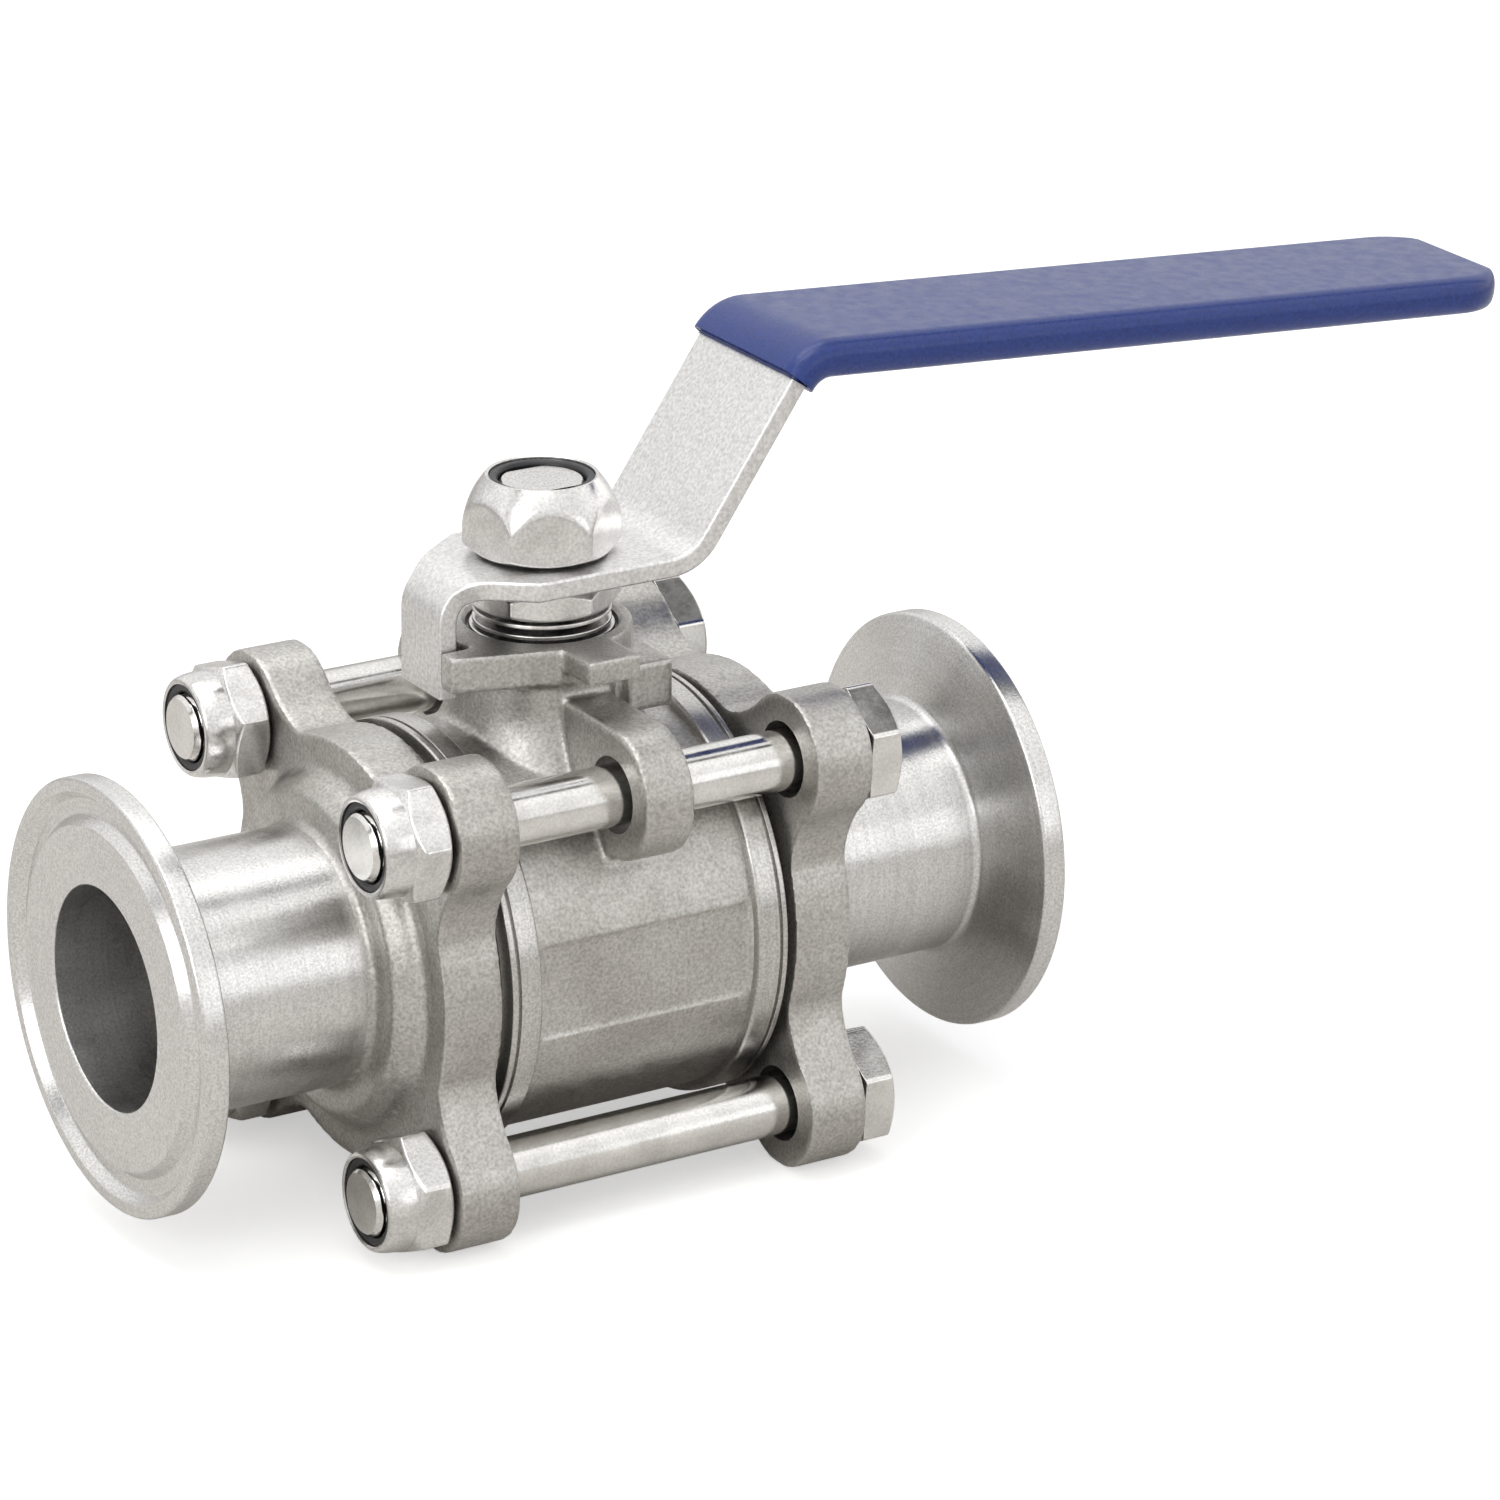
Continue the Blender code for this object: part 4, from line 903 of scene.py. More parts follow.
def pad_outline():
    """Plan of the stop pad: round, flat in front, with two lobes that stop the lever."""
    near = TAB_HALF + CLEAR
    far = near + STOP_WIDE
    lean = math.asin(near / PAD_BACK)
    return [
        *arc((0.0, 0.0), PAD_SIDE, -math.acos(LUG_HALF / PAD_SIDE),
             QUARTER - math.asin(far / PAD_SIDE)),
        *arc((far - STOP_CORNER, STOP_REACH - STOP_CORNER), STOP_CORNER, 0.0, QUARTER),
        (near, STOP_REACH),
        *arc((0.0, 0.0), PAD_BACK, QUARTER - lean, math.pi + lean),
        (-STOP_REACH, -near),
        *arc((STOP_CORNER - STOP_REACH, STOP_CORNER - far), STOP_CORNER,
             math.pi, math.pi + QUARTER),
        (-LUG_HALF, -PAD_FRONT),
    ]


pad = prism("pad", pad_outline(), "Z", PAD_BOTTOM, PAD_TOP)
lug = block("lug", (-LUG_HALF, -LUG_REACH, PAD_TOP - LUG_THICK), (LUG_HALF, -TAB_HALF, PAD_TOP))
shoulder = block("shoulder", (SHOULDER_X[0], -SHOULDER_FRONT, SHOULDER_Z[0]),
                 (SHOULDER_X[1], -TAB_HALF, SHOULDER_Z[1]))
print("pad outline points:", len(pad_outline()))

# %% [markdown]
# The body's solids are fused and melted together, then the cavity, the stem's room and the
# bolt holes are cut. Its two rims were faced on the lathe and shine more than the casting,
# with a fine line turned into each, so they are separate rings.

# %% Cast the body
SEAT_FLOOR = 14.6
GLAND_RIM_R = 8.8
GLAND_BEVEL = 0.4
CHAMBER_R = 7.6
GLAND_SEAT = 34.0
cavity_end = BARREL_END + BEYOND
mouth_r = SPIGOT_R + CLEAR
bevel_top = PAD_TOP + BEYOND

cavity = turned("cavity", [
    (-cavity_end, 0.0), (-cavity_end, mouth_r), (-SEAT_FLOOR, mouth_r), (-SEAT_FLOOR, CAVITY_R),
    (SEAT_FLOOR, CAVITY_R), (SEAT_FLOOR, mouth_r), (cavity_end, mouth_r), (cavity_end, 0.0),
])
stem_room = turned("stem_room", [
    (0.0, 0.0), (0.0, CHAMBER_R), (GLAND_SEAT, CHAMBER_R), (GLAND_SEAT, GLAND_RIM_R),
    (PAD_TOP - GLAND_BEVEL, GLAND_RIM_R), (bevel_top, GLAND_RIM_R + BEYOND + GLAND_BEVEL),
    (bevel_top, 0.0),
], "Z")
body_drills = [
    drill("body_drill", EAR_HOLE_R, -WEB_HALF - BEYOND, WEB_HALF + BEYOND, middle=place)
    for place in BOLT_PLACES.values() if place[1] > 0.0
]
body = cast("cast_body", [barrel, web, neck, pad, lug, shoulder], [cavity, stem_room, *body_drills])
settle(body, FIXED, CASTING, "cast_steel", "body")

# %% Turn the rims of the body
BODY_RIM_R = 25.2
RIM_START = 14.2
RIM_END = 18.1
RIM_LINE = 17.0
RIM_LINE_END = RIM_LINE + 0.4
RIM_LINE_R = BODY_RIM_R - 0.6
RIM_HOLE = SPIGOT_R + 0.6
FRONT_ROUND = 0.5
LINE_ROUND = 0.1
FACE_ROUND = 0.25

rim_right = turned("body_rim_right", rounded([
    (RIM_START, RIM_HOLE), (RIM_START, BODY_RIM_R, FRONT_ROUND),
    (RIM_LINE, BODY_RIM_R, LINE_ROUND), (RIM_LINE, RIM_LINE_R),
    (RIM_LINE_END, RIM_LINE_R), (RIM_LINE_END, BODY_RIM_R, LINE_ROUND),
    (RIM_END, BODY_RIM_R, FACE_ROUND), (RIM_END, RIM_HOLE),
]))
rim_left = flipped("body_rim_left", rim_right)
for rim in (rim_right, rim_left):
    settle(rim, FIXED, RIM_STEEL, "cast_steel", "body")
print("rim outline runs from", RIM_START, "to", RIM_END, "mm")

# %% [markdown]
# ## Nuts and bolts
#
# A lock nut is a hexagon under a crown that grips a nylon ring. The small nuts have a
# rounded collar as their crown, and the nut on the stem has a dome. Nut and bolt are turned
# blanks whose radius is limited by the six flats, so dome and chamfer draw their own arcs.

# %% Profiles of the lock nut and its ring
NUT_SLOPE = math.tan(math.radians(30.0))
BASE_SHARE = 0.95
COLLAR_SHARE = 0.96
CROWN_SHARE = 0.46
DOME_SHARE = 0.24
DOME_BULGE = 0.50
RECESS_SHARE = 0.68
CROWN_LIP = 0.4
CROWN_DROP = 0.05
RECESS_BEVEL = 0.1
RING_SINK = 0.3
RING_LOOSE = 0.1
RING_EDGE = 0.2
RING_LIP = 0.5
DOME_STEPS = 12
FINE_STEP = 0.22


def corner_reach(across):
    """Radius of a blank, a little more than a hexagon's corners."""
    return across / math.sqrt(3.0) + CLEAR


def collar(across, height, lip):
    """Crown with a sloped shoulder and a rounded collar, as (height, radius) points."""
    corner = corner_reach(across)
    out = across / 2 * COLLAR_SHARE
    crown = height * CROWN_SHARE
    start = crown + (corner - out) * NUT_SLOPE
    curve = arc((0.0, 0.0), 1.0, 0.0, QUARTER)
    round_top = [(start + (height - start) * p.y, lip + (out - lip) * p.x) for p in curve]
    return [(crown, corner), *round_top]


def dome(across, height, lip):
    """Crown whose side bulges a little from the corners to the lip."""
    start = Vector((height * DOME_SHARE, corner_reach(across)))
    run = Vector((height, lip)) - start
    outwards = Vector((-run.y, run.x)).normalized()
    points = []
    for i in range(DOME_STEPS + 1):
        share = i / DOME_STEPS
        points.append(start + run * share + outwards * DOME_BULGE * 4 * share * (1 - share))
    return points


def lock_nut_profile(across, height, hole, recess, crown):
    """Blank of a lock nut: chamfered foot, crown, recess for the ring and hole."""
    corner = corner_reach(across)
    face = across / 2 * BASE_SHARE
    floor = height * RECESS_SHARE
    return dense([
        (0.0, hole + CLEAR), (0.0, face), ((corner - face) * NUT_SLOPE, corner),
        *crown(across, height - CROWN_DROP, recess + CROWN_LIP),
        (height, recess + CROWN_LIP / 2), (height - RECESS_BEVEL, recess),
        (floor, recess), (floor, hole), (0.0, hole + CLEAR),
    ], FINE_STEP)[:-1]


def nut_ring(name, height, hole, recess, axis, middle=(0.0, 0.0), base=0.0, sense=1.0):
    """Nylon ring with a rounded inner lip."""
    low = base + sense * (height * RECESS_SHARE + RING_LOOSE)
    high = base + sense * (height - RING_SINK)
    profile = rounded([(low, hole), (low, recess), (high, recess, RING_EDGE), (high, hole, RING_LIP)])
    return turned(name, profile, axis, middle=middle)


print("lock nut outline points:", len(lock_nut_profile(13.0, 8.0, 4.3, 5.1, collar)))

# %% [markdown]
# Four long bolts tie the caps to the body. Each has its head on the right and its nut on the
# left, and nobody lines the flats up, so each nut has a turn of its own. Bolt and head are
# one outline: only the head is wide enough to meet the flats of the hexagon.

# %% Outline of a tie bolt
TIE_ACROSS = 13.0
TIE_NUT_HEIGHT = 8.0
TIE_RECESS = 5.1
THREAD_R = 4.0
SHANK_R = 3.55
PITCH = 1.25
THREAD_DEEP = 0.45
THREAD_BEVEL = 0.5
HEAD_SEAT = CAP_OUTER + CLEAR
HEAD_HEIGHT = 4.5
HEAD_FOOT = 0.25
HEAD_ROUND = 0.2
SEAT_FILLET = 0.3
BOLT_END = HEAD_SEAT + TIE_NUT_HEIGHT + 0.5
THREAD_END = 15.1 - BOLT_END

head_corner = corner_reach(TIE_ACROSS)
head_face = TIE_ACROSS / 2 * BASE_SHARE
head_top = HEAD_SEAT + HEAD_HEIGHT
thread_profile = dense([
    (-BOLT_END, THREAD_R - THREAD_BEVEL), (-BOLT_END + THREAD_BEVEL, THREAD_R), (THREAD_END, THREAD_R),
], PITCH / 8)
head_profile = dense([
    (HEAD_SEAT, head_face), (HEAD_SEAT + HEAD_FOOT, head_corner),
    (head_top - (head_corner - head_face) * NUT_SLOPE, head_corner),
    (head_top, head_face - HEAD_ROUND), (head_top, 0.0),
], FINE_STEP)
bolt_profile = [
    (-BOLT_END, 0.0), *thread_profile, (THREAD_END + THREAD_BEVEL, SHANK_R),
    (HEAD_SEAT - SEAT_FILLET, SHANK_R), (HEAD_SEAT, SHANK_R + SEAT_FILLET), *head_profile,
]
print("tie bolt outline points:", len(bolt_profile))

# %% Four tie bolts with their lock nuts
HEAD_TURN = math.radians(34.0)
NUT_TURNS = {"front_lower": 36.0, "back_lower": 50.0, "front_upper": 53.4, "back_upper": 44.4}
RING_HOLE = THREAD_R + 0.1

tie_profile = lock_nut_profile(TIE_ACROSS, TIE_NUT_HEIGHT, THREAD_R + CLEAR, TIE_RECESS, collar)
bolt_shapes = [hexagonal(TIE_ACROSS, HEAD_TURN),
               threaded(THREAD_R, PITCH, THREAD_DEEP, -BOLT_END, THREAD_END)]
for place_name, middle in BOLT_PLACES.items():
    turn = math.radians(NUT_TURNS[place_name])
    nut = turned(f"lock_nut_{place_name}", [(-HEAD_SEAT - x, r) for x, r in tie_profile],
                 shapes=[hexagonal(TIE_ACROSS, turn)], spokes=hex_spokes(turn), middle=middle)
    settle(nut, FIXED, NUT_STEEL, "bright_steel", f"tie_nut_{place_name}")
    ring = nut_ring(f"nut_ring_{place_name}", TIE_NUT_HEIGHT, RING_HOLE, TIE_RECESS, "X",
                    middle, -HEAD_SEAT, -1.0)
    settle(ring, FIXED, NYLON, "nylon_black", f"tie_nut_insert_{place_name}")
    bolt = turned(f"tie_rod_{place_name}", bolt_profile, shapes=bolt_shapes,
                  spokes=hex_spokes(HEAD_TURN), middle=middle)
    settle(bolt, FIXED, ROD_STEEL, "bright_steel", f"tie_bolt_{place_name}")
print("tie bolts:", len(BOLT_PLACES))

# %% [markdown]
# ## Stem, springs and the nuts on the stem
#
# The stem is turned, then threaded and milled to two flats that the lever's hole fits. Two
# conical springs between the gland ring and the thin nut keep the packing squeezed. All of
# it shows only in the window under the lever, and it is what makes that window look real.

# %% Stem with its tongue, thread and flats
STEM_R = 5.5
STEM_THREAD_R = 5.0
COLLAR_R = 7.5
SLOT_FLOOR = 14.2
TONGUE_HALF = 3.0
COLLAR_Z = (19.3, 22.0)
GLAND_TOP = 35.0
STEM_TOP = 52.0
FLATS_HALF = 4.0
GLAND_NUT_Z = (37.3, 40.9)
STEM_PITCH = 1.0
STEM_THREAD_DEEP = 0.4
THREAD_MARGIN = 0.3
TONGUE_END = SLOT_FLOOR + CLEAR
TONGUE_END_R = 6.7
TONGUE_BEVEL = 0.5
CHEEK_EDGE = COLLAR_Z[0] - 0.01

tongue_profile = [
    (TONGUE_END, 0.0), (TONGUE_END, TONGUE_END_R),
    (TONGUE_END + TONGUE_BEVEL, TONGUE_END_R + TONGUE_BEVEL), (CHEEK_EDGE, COLLAR_R),
    (COLLAR_Z[0], COLLAR_R), (COLLAR_Z[1], COLLAR_R), (COLLAR_Z[1], STEM_R),
    (GLAND_TOP - THREAD_BEVEL, STEM_R),
]
shaft = dense([
    (GLAND_TOP, STEM_THREAD_R), (STEM_TOP - STEM_THREAD_DEEP, STEM_THREAD_R),
    (STEM_TOP, STEM_THREAD_R - STEM_THREAD_DEEP),
], STEM_PITCH / 8)


def tongue(place, radius, angle):
    """Two cheeks milled away, so that the stem ends in a tongue for the ball's slot."""
    if place < COLLAR_Z[0]:
        return min(radius, TONGUE_HALF / max(abs(math.cos(angle)), TINY))
    return radius


stem = turned("threaded_stem", [*tongue_profile, *shaft, (STEM_TOP, 0.0)], "Z", shapes=[
    tongue, flatted(FLATS_HALF, GLAND_NUT_Z[1], STEM_TOP),
    threaded(STEM_THREAD_R, STEM_PITCH, STEM_THREAD_DEEP,
             GLAND_TOP + THREAD_MARGIN, STEM_TOP - THREAD_MARGIN),
])
settle(stem, TURNING, STEM_STEEL, "turned_steel", "stem")
print("stem height above the pad:", round(STEM_TOP - PAD_TOP, 1), "mm")

# %% [markdown]
# The gland ring presses the packing down, the springs press on the ring, and the thin nut
# holds the springs. The ring is turned with a flange that sits in the pad's recess, and the
# springs are shallow cones set back to back.

# %% Gland ring and springs
GLAND_FOOT = 32.7
GLAND_FLANGE = 34.3
GLAND_HOLE = 5.8
GLAND_SLEEVE_R = 7.3
GLAND_R = 8.4
SPRING_THICK = 0.5
SPRING_CONE = 0.3
SPRING_R = 8.0
SPRING_HOLE = 5.3
SPRING_EDGE = 0.15
SPRING_TOPS = {"lower": (36.1, 36.1 - SPRING_CONE), "upper": (37.1 - SPRING_CONE, 37.1)}

gland = turned("gland_collar", rounded([
    (GLAND_FOOT, GLAND_HOLE), (GLAND_FOOT, GLAND_SLEEVE_R), (GLAND_FLANGE, GLAND_SLEEVE_R),
    (GLAND_FLANGE, GLAND_R, 0.15), (GLAND_TOP, GLAND_R, 0.2), (GLAND_TOP, GLAND_HOLE, 0.1),
]), "Z")
settle(gland, FIXED, STEM_STEEL, "turned_steel", "gland_ring")
for name, (inner_top, outer_top) in SPRING_TOPS.items():
    spring = turned(f"spring_{name}", rounded([
        (inner_top - SPRING_THICK, SPRING_HOLE), (outer_top - SPRING_THICK, SPRING_R, SPRING_EDGE),
        (outer_top, SPRING_R, SPRING_EDGE), (inner_top, SPRING_HOLE),
    ]), "Z")
    settle(spring, TURNING, NUT_STEEL, "bright_steel", f"disc_spring_{name}")
print("springs:", len(SPRING_TOPS))

# %% Thin nut and top nut
STEM_NUT_ACROSS = 16.0
STEM_NUT_HEIGHT = 8.9
STEM_NUT_BASE = 43.8
STEM_NUT_RECESS = 6.1
STEM_RING_HOLE = STEM_THREAD_R + 0.05
STEM_NUT_TURN = math.radians(-22.4)

stem_flats = [hexagonal(STEM_NUT_ACROSS, STEM_NUT_TURN)]
stem_spokes = hex_spokes(STEM_NUT_TURN)
thin_corner = corner_reach(STEM_NUT_ACROSS)
thin_face = STEM_NUT_ACROSS / 2 * BASE_SHARE
thin_run = (thin_corner - thin_face) * NUT_SLOPE
low, high = GLAND_NUT_Z
thin_profile = dense([
    (low, SPRING_HOLE), (low, thin_face), (low + thin_run, thin_corner),
    (high - thin_run, thin_corner), (high, thin_face), (high, SPRING_HOLE),
], FINE_STEP)
thin_nut = turned("thin_nut", thin_profile, "Z", stem_flats, stem_spokes)
settle(thin_nut, TURNING, NUT_STEEL, "bright_steel", "gland_nut")
top_profile = lock_nut_profile(STEM_NUT_ACROSS, STEM_NUT_HEIGHT, SPRING_HOLE, STEM_NUT_RECESS, dome)
top_nut = turned("top_nut", [(STEM_NUT_BASE + z, r) for z, r in top_profile], "Z",
                 stem_flats, stem_spokes)
settle(top_nut, TURNING, NUT_STEEL, "bright_steel", "stem_nut")
top_ring = nut_ring("top_nut_ring", STEM_NUT_HEIGHT, STEM_RING_HOLE, STEM_NUT_RECESS, "Z",
                    base=STEM_NUT_BASE)
settle(top_ring, TURNING, NYLON, "nylon_black", "stem_nut_insert")
print("top nut outline points:", len(top_profile))

# %% [markdown]
# ## Ball and seats
#
# They show only to someone who looks down the pipe: a polished ball behind a white ring.
# The ball is turned with its port and gets the slot for the stem's tongue. Its seat is
# hollowed to the ball's radius.

# %% Ball with its port and slot, and the seats
BALL_R = 19.0
PORT_R = 12.5
SEAT_R = 17.9
SEAT_CONTACT = 15.5
PORT_BEVEL = 0.5
HIDDEN_RINGS = ("body_seal_left", "body_seal_right", "stem_thrust_washer",
                "packing_ring_lower", "packing_ring_upper")

opening = math.asin((PORT_R + PORT_BEVEL) / BALL_R)
outside = arc((0.0, 0.0), BALL_R, math.pi - opening, opening)
mouth = outside[-1][0] - PORT_BEVEL
ball = turned("polished_ball", [*outside, (mouth, PORT_R), (-mouth, PORT_R)])
slot_tool = block("slot_tool", (-TONGUE_HALF - CLEAR, -BALL_R - BEYOND, SLOT_FLOOR),
                  (TONGUE_HALF + CLEAR, BALL_R + BEYOND, BALL_R + BEYOND))
machined(ball, [slot_tool])
settle(ball, TURNING, BALL_STEEL, "ball_steel", "ball")
follow = BALL_R + CLEAR
hollow = arc((0.0, 0.0), follow, math.asin(BORE_R / follow), math.asin(SEAT_CONTACT / follow))
seat_right = turned("soft_seat_right", [
    *hollow, (hollow[-1][0] + CLEAR, SEAT_R), (CAP_FACE - CLEAR, SEAT_R), (CAP_FACE - CLEAR, BORE_R),
])
seat_left = flipped("soft_seat_left", seat_right)
settle(seat_right, FIXED, SEAT_WHITE, "seat_polymer", "seat_ring_right")
settle(seat_left, FIXED, SEAT_WHITE, "seat_polymer", "seat_ring_left")
for name in HIDDEN_RINGS:
    for place in frame["nodes"][name].material_slots:
        place.material = SEAT_WHITE
print("ball faces:", len(ball.data.polygons))

# %% [markdown]
# ## Lever and sleeve
#
# The lever is one strip of plate, bent three times: a tab that turns between the stops, a
# foot under the nut, an arm, and the grip. A rounded section swept along the strip's middle
# line keeps its thickness through each bend. The vinyl sleeve follows the same line a
# little further out, and ends in a rounded tip.

# %% Middle line of the strip
PLATE_THICK = 2.3
FOOT_TOP = 43.5
TAB_MIDDLE = 14.75
TAB_BOTTOM = 29.6
ARM_FOOT = 14.55
ARM_ANGLE = math.radians(55.6)
ELBOW_X = 29.54
GRIP_DROP = math.radians(3.87)
GRIP_TIP = 130.5
END_WALL = 1.3
BENDS = (4.3, 6.0, 5.0)
PATH_STEP = 1.5

steel_tip = GRIP_TIP - END_WALL
foot_z = FOOT_TOP - PLATE_THICK / 2
elbow_z = foot_z + (ELBOW_X - ARM_FOOT) * math.tan(ARM_ANGLE)
tip_z = elbow_z - (steel_tip - ELBOW_X) * math.tan(GRIP_DROP)


def bent(corners, radii):
    """Open path through the corners, with each inner corner rounded."""
    inner = [(*corner, radius) for corner, radius in zip(corners[1:-1], radii)]
    return dense(rounded([corners[0], *inner, corners[-1]]), PATH_STEP)


elbow = Vector((ELBOW_X, elbow_z))
down_arm = (Vector((ARM_FOOT, foot_z)) - elbow).normalized()
to_tip = (Vector((steel_tip, tip_z)) - elbow).normalized()
print("elbow is", round(elbow_z - FOOT_TOP, 1), "mm above the foot")

# %% [markdown]
# A strip is a flat section that follows the path at right angles. At its tip the real plate
# and the vinyl round off, so the width runs out along a quarter circle, and the points
# crowd there to keep that curve smooth.

# %% Sweep a flat section along a path
PLATE_HALF = 10.25
PLATE_EDGE = 0.35
SLEEVE_WALL = 1.19
TIP_CORNER = 7.5


def path_normals(path):
    """Direction across the path at each of its points."""
    found = []
    for i in range(len(path)):
        along = (path[min(i + 1, len(path) - 1)] - path[max(i - 1, 0)]).normalized()
        found.append(Vector((-along.y, along.x)))
    return found


def run_out(radius, left):
    """How far a corner of that radius has drawn in, so much before its end."""
    return radius - math.sqrt(max(radius ** 2 - max(radius - left, 0.0) ** 2, 0.0))


def strip_rings(path, half_wide, half_thick, edge, corner, edge_end=0.0):
    """Sections along the path. Width, and with an end radius thickness too, run out at the tip."""
    rings = []
    for point, normal in zip(path, path_normals(path)):
        left = (path[-1] - point).length
        wide = half_wide(point) - run_out(corner, left)
        thick = half_thick - run_out(edge_end, left)
        ring = []
        for across, up in soft_square(2 * half_wide(point), 2 * half_thick, edge):
            place = point + normal * up * (thick / half_thick)
            ring.append((place.x, across * wide / half_wide(point), place.y))
        rings.append(ring)
    return rings


def tip_points(end, along, corner, steps=14):
    """Points that crowd towards the end of a path, over the length of its corner."""
    shares = [1.0 - math.sin(QUARTER * i / steps) for i in range(1, steps + 1)]
    return [end - along * corner * share for share in shares]


print("1 mm before its end the tip has drawn in", round(run_out(TIP_CORNER, 1.0), 2), "mm")


# %% [markdown]
# The blank of the lever narrows towards the tab, so that the tab fits between the lobes of
# the pad. The hole is round with two flats, like the stem that it turns.

# %% The lever, tapered towards its tab
TAPER_X = (-13.6, -6.1)
HOLE_CLEAR = 5.3


def strip_half(point):
    """Half the strip's width: narrow at the tab, full from the foot on."""
    share = (point.x - TAPER_X[0]) / (TAPER_X[1] - TAPER_X[0])
    return TAB_HALF + (PLATE_HALF - TAB_HALF) * min(max(share, 0.0), 1.0)


steel_corner = TIP_CORNER - SLEEVE_WALL
steel_end = Vector((steel_tip, tip_z))
strip = bent([(-TAB_MIDDLE, TAB_BOTTOM), (-TAB_MIDDLE, foot_z), (ARM_FOOT, foot_z), tuple(elbow),
              tuple(steel_end - to_tip * steel_corner)], BENDS)
strip += tip_points(steel_end, to_tip, steel_corner)
plate_rings = strip_rings(strip, strip_half, PLATE_THICK / 2, PLATE_EDGE, steel_corner)
lever = loft("bent_lever", plate_rings)
hole_low = FOOT_TOP - PLATE_THICK - BEYOND
hole_high = FOOT_TOP + BEYOND
stem_tool = turned("stem_tool", [
    (hole_low, 0.0), (hole_low, HOLE_CLEAR), (hole_high, HOLE_CLEAR), (hole_high, 0.0),
], "Z", [flatted(FLATS_HALF + CLEAR, 0.0, STEM_TOP)])
machined(lever, [stem_tool])
settle(lever, TURNING, PLATE, "plate_steel", "lever")
print("lever sections:", len(plate_rings))

# %% [markdown]
# The sleeve is a closed skin: outside, lip at the mouth, and inside with a little room
# round the plate. All three follow the same path at different distances from it, so one
# function makes them, and the sleeve is a single loft through their sections.

# %% The dipped sleeve
SLEEVE_START = 3.0
SLEEVE_EDGE = 2.1
LIP = 0.5


def sleeve_rings(start, end_x, wall, corner, end_edge):
    """Skin of the sleeve at a distance from the plate, from its mouth on the arm to its tip."""
    end = elbow + to_tip * ((end_x - ELBOW_X) / to_tip.x)
    corners = [tuple(elbow + down_arm * start), tuple(elbow), tuple(end - to_tip * corner)]
    line = bent(corners, BENDS[2:])
    line += tip_points(end, to_tip, corner)
    edge = SLEEVE_EDGE - SLEEVE_WALL + wall
    return strip_rings(line, lambda point: PLATE_HALF + wall, PLATE_THICK / 2 + wall, edge,
                       corner, end_edge)


outer = sleeve_rings(SLEEVE_START - LIP, GRIP_TIP, SLEEVE_WALL, TIP_CORNER, SLEEVE_EDGE)
lip = sleeve_rings(SLEEVE_START, GRIP_TIP, SLEEVE_WALL - LIP, TIP_CORNER, SLEEVE_EDGE)
inner = sleeve_rings(SLEEVE_START, steel_tip + CLEAR, CLEAR, steel_corner, 0.0)
sleeve = loft("dipped_sleeve", [*reversed(inner), lip[0], *outer])
settle(sleeve, TURNING, VINYL, "blue_vinyl", "grip_sleeve")
print("sleeve rings:", len(inner) + 1 + len(outer))

# %% [markdown]
# ## Studio
#
# Steel shows its surroundings more than itself, so the studio is built for what it
# reflects. The world is white to the camera. To reflections it is a light room: bright
# panels overhead, a dark gap between them that draws a thin line along each tube, and a
# dimmer floor. Its levels depend on the angle round the pipe. Broad lamps add the shadow.

# %% World
BANDS = [
    (-180, 0.45), (-90, 0.56), (-20, 0.62), (10, 0.66), (30, 0.72), (48, 0.78), (62, 0.86),
    (74, 0.88), (82, 0.84), (85, 0.06), (92, 0.06), (96, 0.80), (135, 0.80), (160, 0.70),
    (180, 0.45),
]
WARMTH = (1.0, 0.995, 0.985)
MIRROR_STRENGTH = 1.5
ROOM_GREY = (0.55, 0.55, 0.55, 1.0)
WHITE = (1.0, 1.0, 1.0, 1.0)

scene = bpy.context.scene
scene.view_settings.view_transform = "Standard"
world = bpy.data.worlds.new("studio")
scene.world = world
world.use_nodes = True
tree = world.node_tree
tree.nodes.clear()
sight = add(tree, "ShaderNodeLightPath", {})
direction = add(tree, "ShaderNodeTexCoord", {})["Generated"]
parts = add(tree, "ShaderNodeSeparateXYZ", {"Vector": direction})
to_front = add(tree, "ShaderNodeMath", {0: parts["Y"], 1: -1.0}, operation="MULTIPLY")["Value"]
round_pipe = add(tree, "ShaderNodeMath", {0: parts["Z"], 1: to_front}, operation="ARCTAN2")["Value"]
around = {"Value": round_pipe, "From Min": -math.pi, "From Max": math.pi}
turn = add(tree, "ShaderNodeMapRange", around)["Result"]
ramp = tree.nodes.new("ShaderNodeValToRGB")
tree.links.new(turn, ramp.inputs["Fac"])
stops = ramp.color_ramp.elements
for number, (degrees, level) in enumerate(BANDS):
    stop = stops[number] if number < 2 else stops.new(1.0)
    stop.position = (degrees + 180) / 360
    stop.color = (*[level * share for share in WARMTH], 1.0)
soft_light = add(tree, "ShaderNodeBackground", {"Color": ROOM_GREY})["Background"]
banded = {"Color": ramp.outputs["Color"], "Strength": MIRROR_STRENGTH}
mirror_view = add(tree, "ShaderNodeBackground", banded)["Background"]
white = add(tree, "ShaderNodeBackground", {"Color": WHITE})["Background"]
by_mirror = {0: sight["Is Glossy Ray"], 1: soft_light, 2: mirror_view}
room = add(tree, "ShaderNodeMixShader", by_mirror)["Shader"]
clear = add(tree, "ShaderNodeMath", {0: sight["Is Camera Ray"], 1: sight["Is Transmission Ray"]},
            operation="MAXIMUM")["Value"]
seen = add(tree, "ShaderNodeMixShader", {0: clear, 1: room, 2: white})["Shader"]
add(tree, "ShaderNodeOutputWorld", {"Surface": seen})
print("world bands:", len(BANDS))

# %% [markdown]
# The floor is white paper with the valve's shadow on it. It glows a little to the camera,
# which keeps it as white as the background, and is a little darker to reflections.

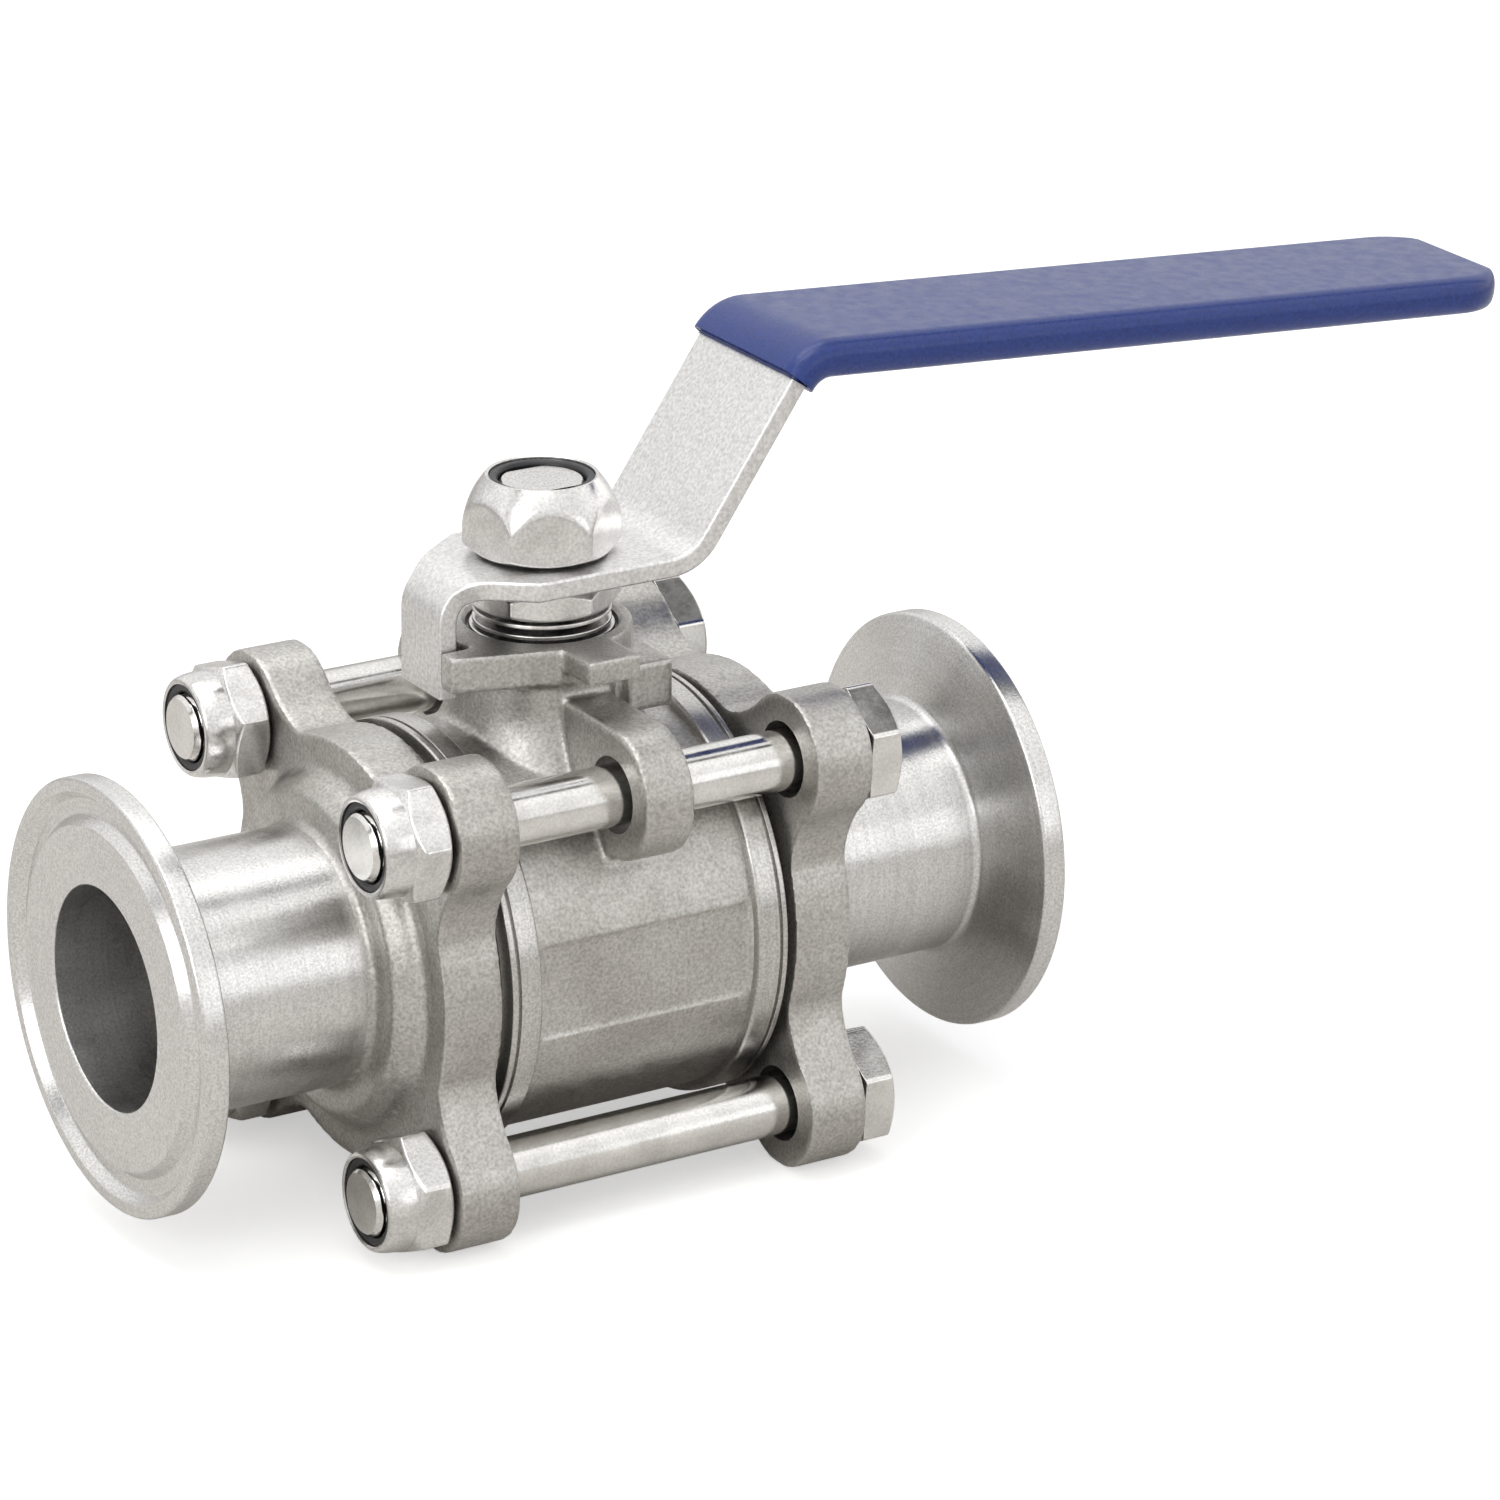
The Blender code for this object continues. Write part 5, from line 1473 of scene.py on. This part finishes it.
# %% Floor
FLOOR_HALF = 3.0
FLOOR_GLOW = 0.5
FLOOR_ROUGH = 0.9
PAPER = (0.90, 0.90, 0.90, 1.0)
PAPER_MIRRORED = (0.90, 0.87, 0.83, 1.0)

floor_form = bmesh.new()
corners = [(-1, -1), (1, -1), (1, 1), (-1, 1)]
floor_form.faces.new([
    floor_form.verts.new((x * FLOOR_HALF, y * FLOOR_HALF, 0.0)) for x, y in corners
])
floor = placed("studio_floor", floor_form, (0.0, 0.0, 0.0))
paper = bpy.data.materials.new("paper_floor")
paper.use_nodes = True
tree = paper.node_tree
shader = tree.nodes["Principled BSDF"]
shader.inputs["Roughness"].default_value = FLOOR_ROUGH
shader.inputs["Specular IOR Level"].default_value = 0.0
shader.inputs["Emission Color"].default_value = WHITE
sight = add(tree, "ShaderNodeLightPath", {})
seen_glow = {0: sight["Is Camera Ray"], 1: FLOOR_GLOW}
glow = add(tree, "ShaderNodeMath", seen_glow, operation="MULTIPLY")["Value"]
dimmed = mixed(tree, sight["Is Glossy Ray"], PAPER, PAPER_MIRRORED)
plug(tree, shader, Base_Color=dimmed, Emission_Strength=glow)
floor.data.materials.append(paper)
floor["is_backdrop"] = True
print("floor is", 2 * FLOOR_HALF, "m wide")

# %% [markdown]
# Three broad lamps stand well outside the view: one overhead for the shadow, one on the
# left for the faces turned to it, and a faint one in front for the ears. Broad lamps give
# soft shadows, and low power keeps each colour near the one written in its finish.

# %% Lamps


AIM = Vector((-0.01, 0.0, 0.04))


def soft_lamp(name, place, size, watts):
    """Broad lamp that faces the valve."""
    lamp = bpy.data.lights.new(name, "AREA")
    lamp.shape = "RECTANGLE"
    lamp.size, lamp.size_y = size
    lamp.energy = watts
    holder = bpy.data.objects.new(name, lamp)
    holder.location = place
    holder.rotation_euler = (AIM - Vector(place)).to_track_quat("-Z", "Y").to_euler()
    scene.collection.objects.link(holder)


soft_lamp("top_light", place=(-0.10, 0.05, 0.75), size=(0.70, 0.50), watts=2.0)
soft_lamp("left_light", place=(-0.80, -0.45, 0.45), size=(0.50, 0.50), watts=1.9)
soft_lamp("front_light", place=(0.35, -0.90, 0.30), size=(0.50, 0.40), watts=0.35)

# %% [markdown]
# ## Camera
#
# The photograph was taken from the front left and a little above, with a long lens. The
# angles, the distance and the lens come from the ellipses of the two ferrules, whose real
# size is known. They are turned into a camera that looks back along its own Z axis.

# %% Camera at the photograph's angle
AZIMUTH = math.radians(-31.960)
ELEVATION = math.radians(20.902)
ROLL = math.radians(0.755)
DISTANCE = 0.75708
TARGET = Vector((-0.008747, 0.0, 0.04282))
LENS = 154.557
SENSOR_WIDE = 36.0
NEAR_CLIP = 0.01

level = math.cos(ELEVATION)
back = Vector((math.sin(AZIMUTH) * level, -math.cos(AZIMUTH) * level, math.sin(ELEVATION)))
right = Vector((0, 0, 1)).cross(back).normalized()
up = back.cross(right)
side = right * math.cos(ROLL) + up * math.sin(ROLL)
above = up * math.cos(ROLL) - right * math.sin(ROLL)
stand = Matrix((side, above, back)).transposed().to_4x4()
stand.translation = TARGET + back * DISTANCE
lens = bpy.data.cameras.new("camera")
lens.lens = LENS
lens.sensor_width = SENSOR_WIDE
lens.clip_start = NEAR_CLIP
camera = bpy.data.objects.new("camera", lens)
camera.matrix_world = stand
scene.collection.objects.link(camera)
scene.camera = camera
print("camera at", tuple(round(v, 3) for v in stand.translation))

# %% [markdown]
# ## The dressed valve's box
#
# The dressed valve has to fill the frame's box and not stand out of it, so its own box is
# measured before the scene is finished.

# %% Measure the dressed valve's box
low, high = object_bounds()
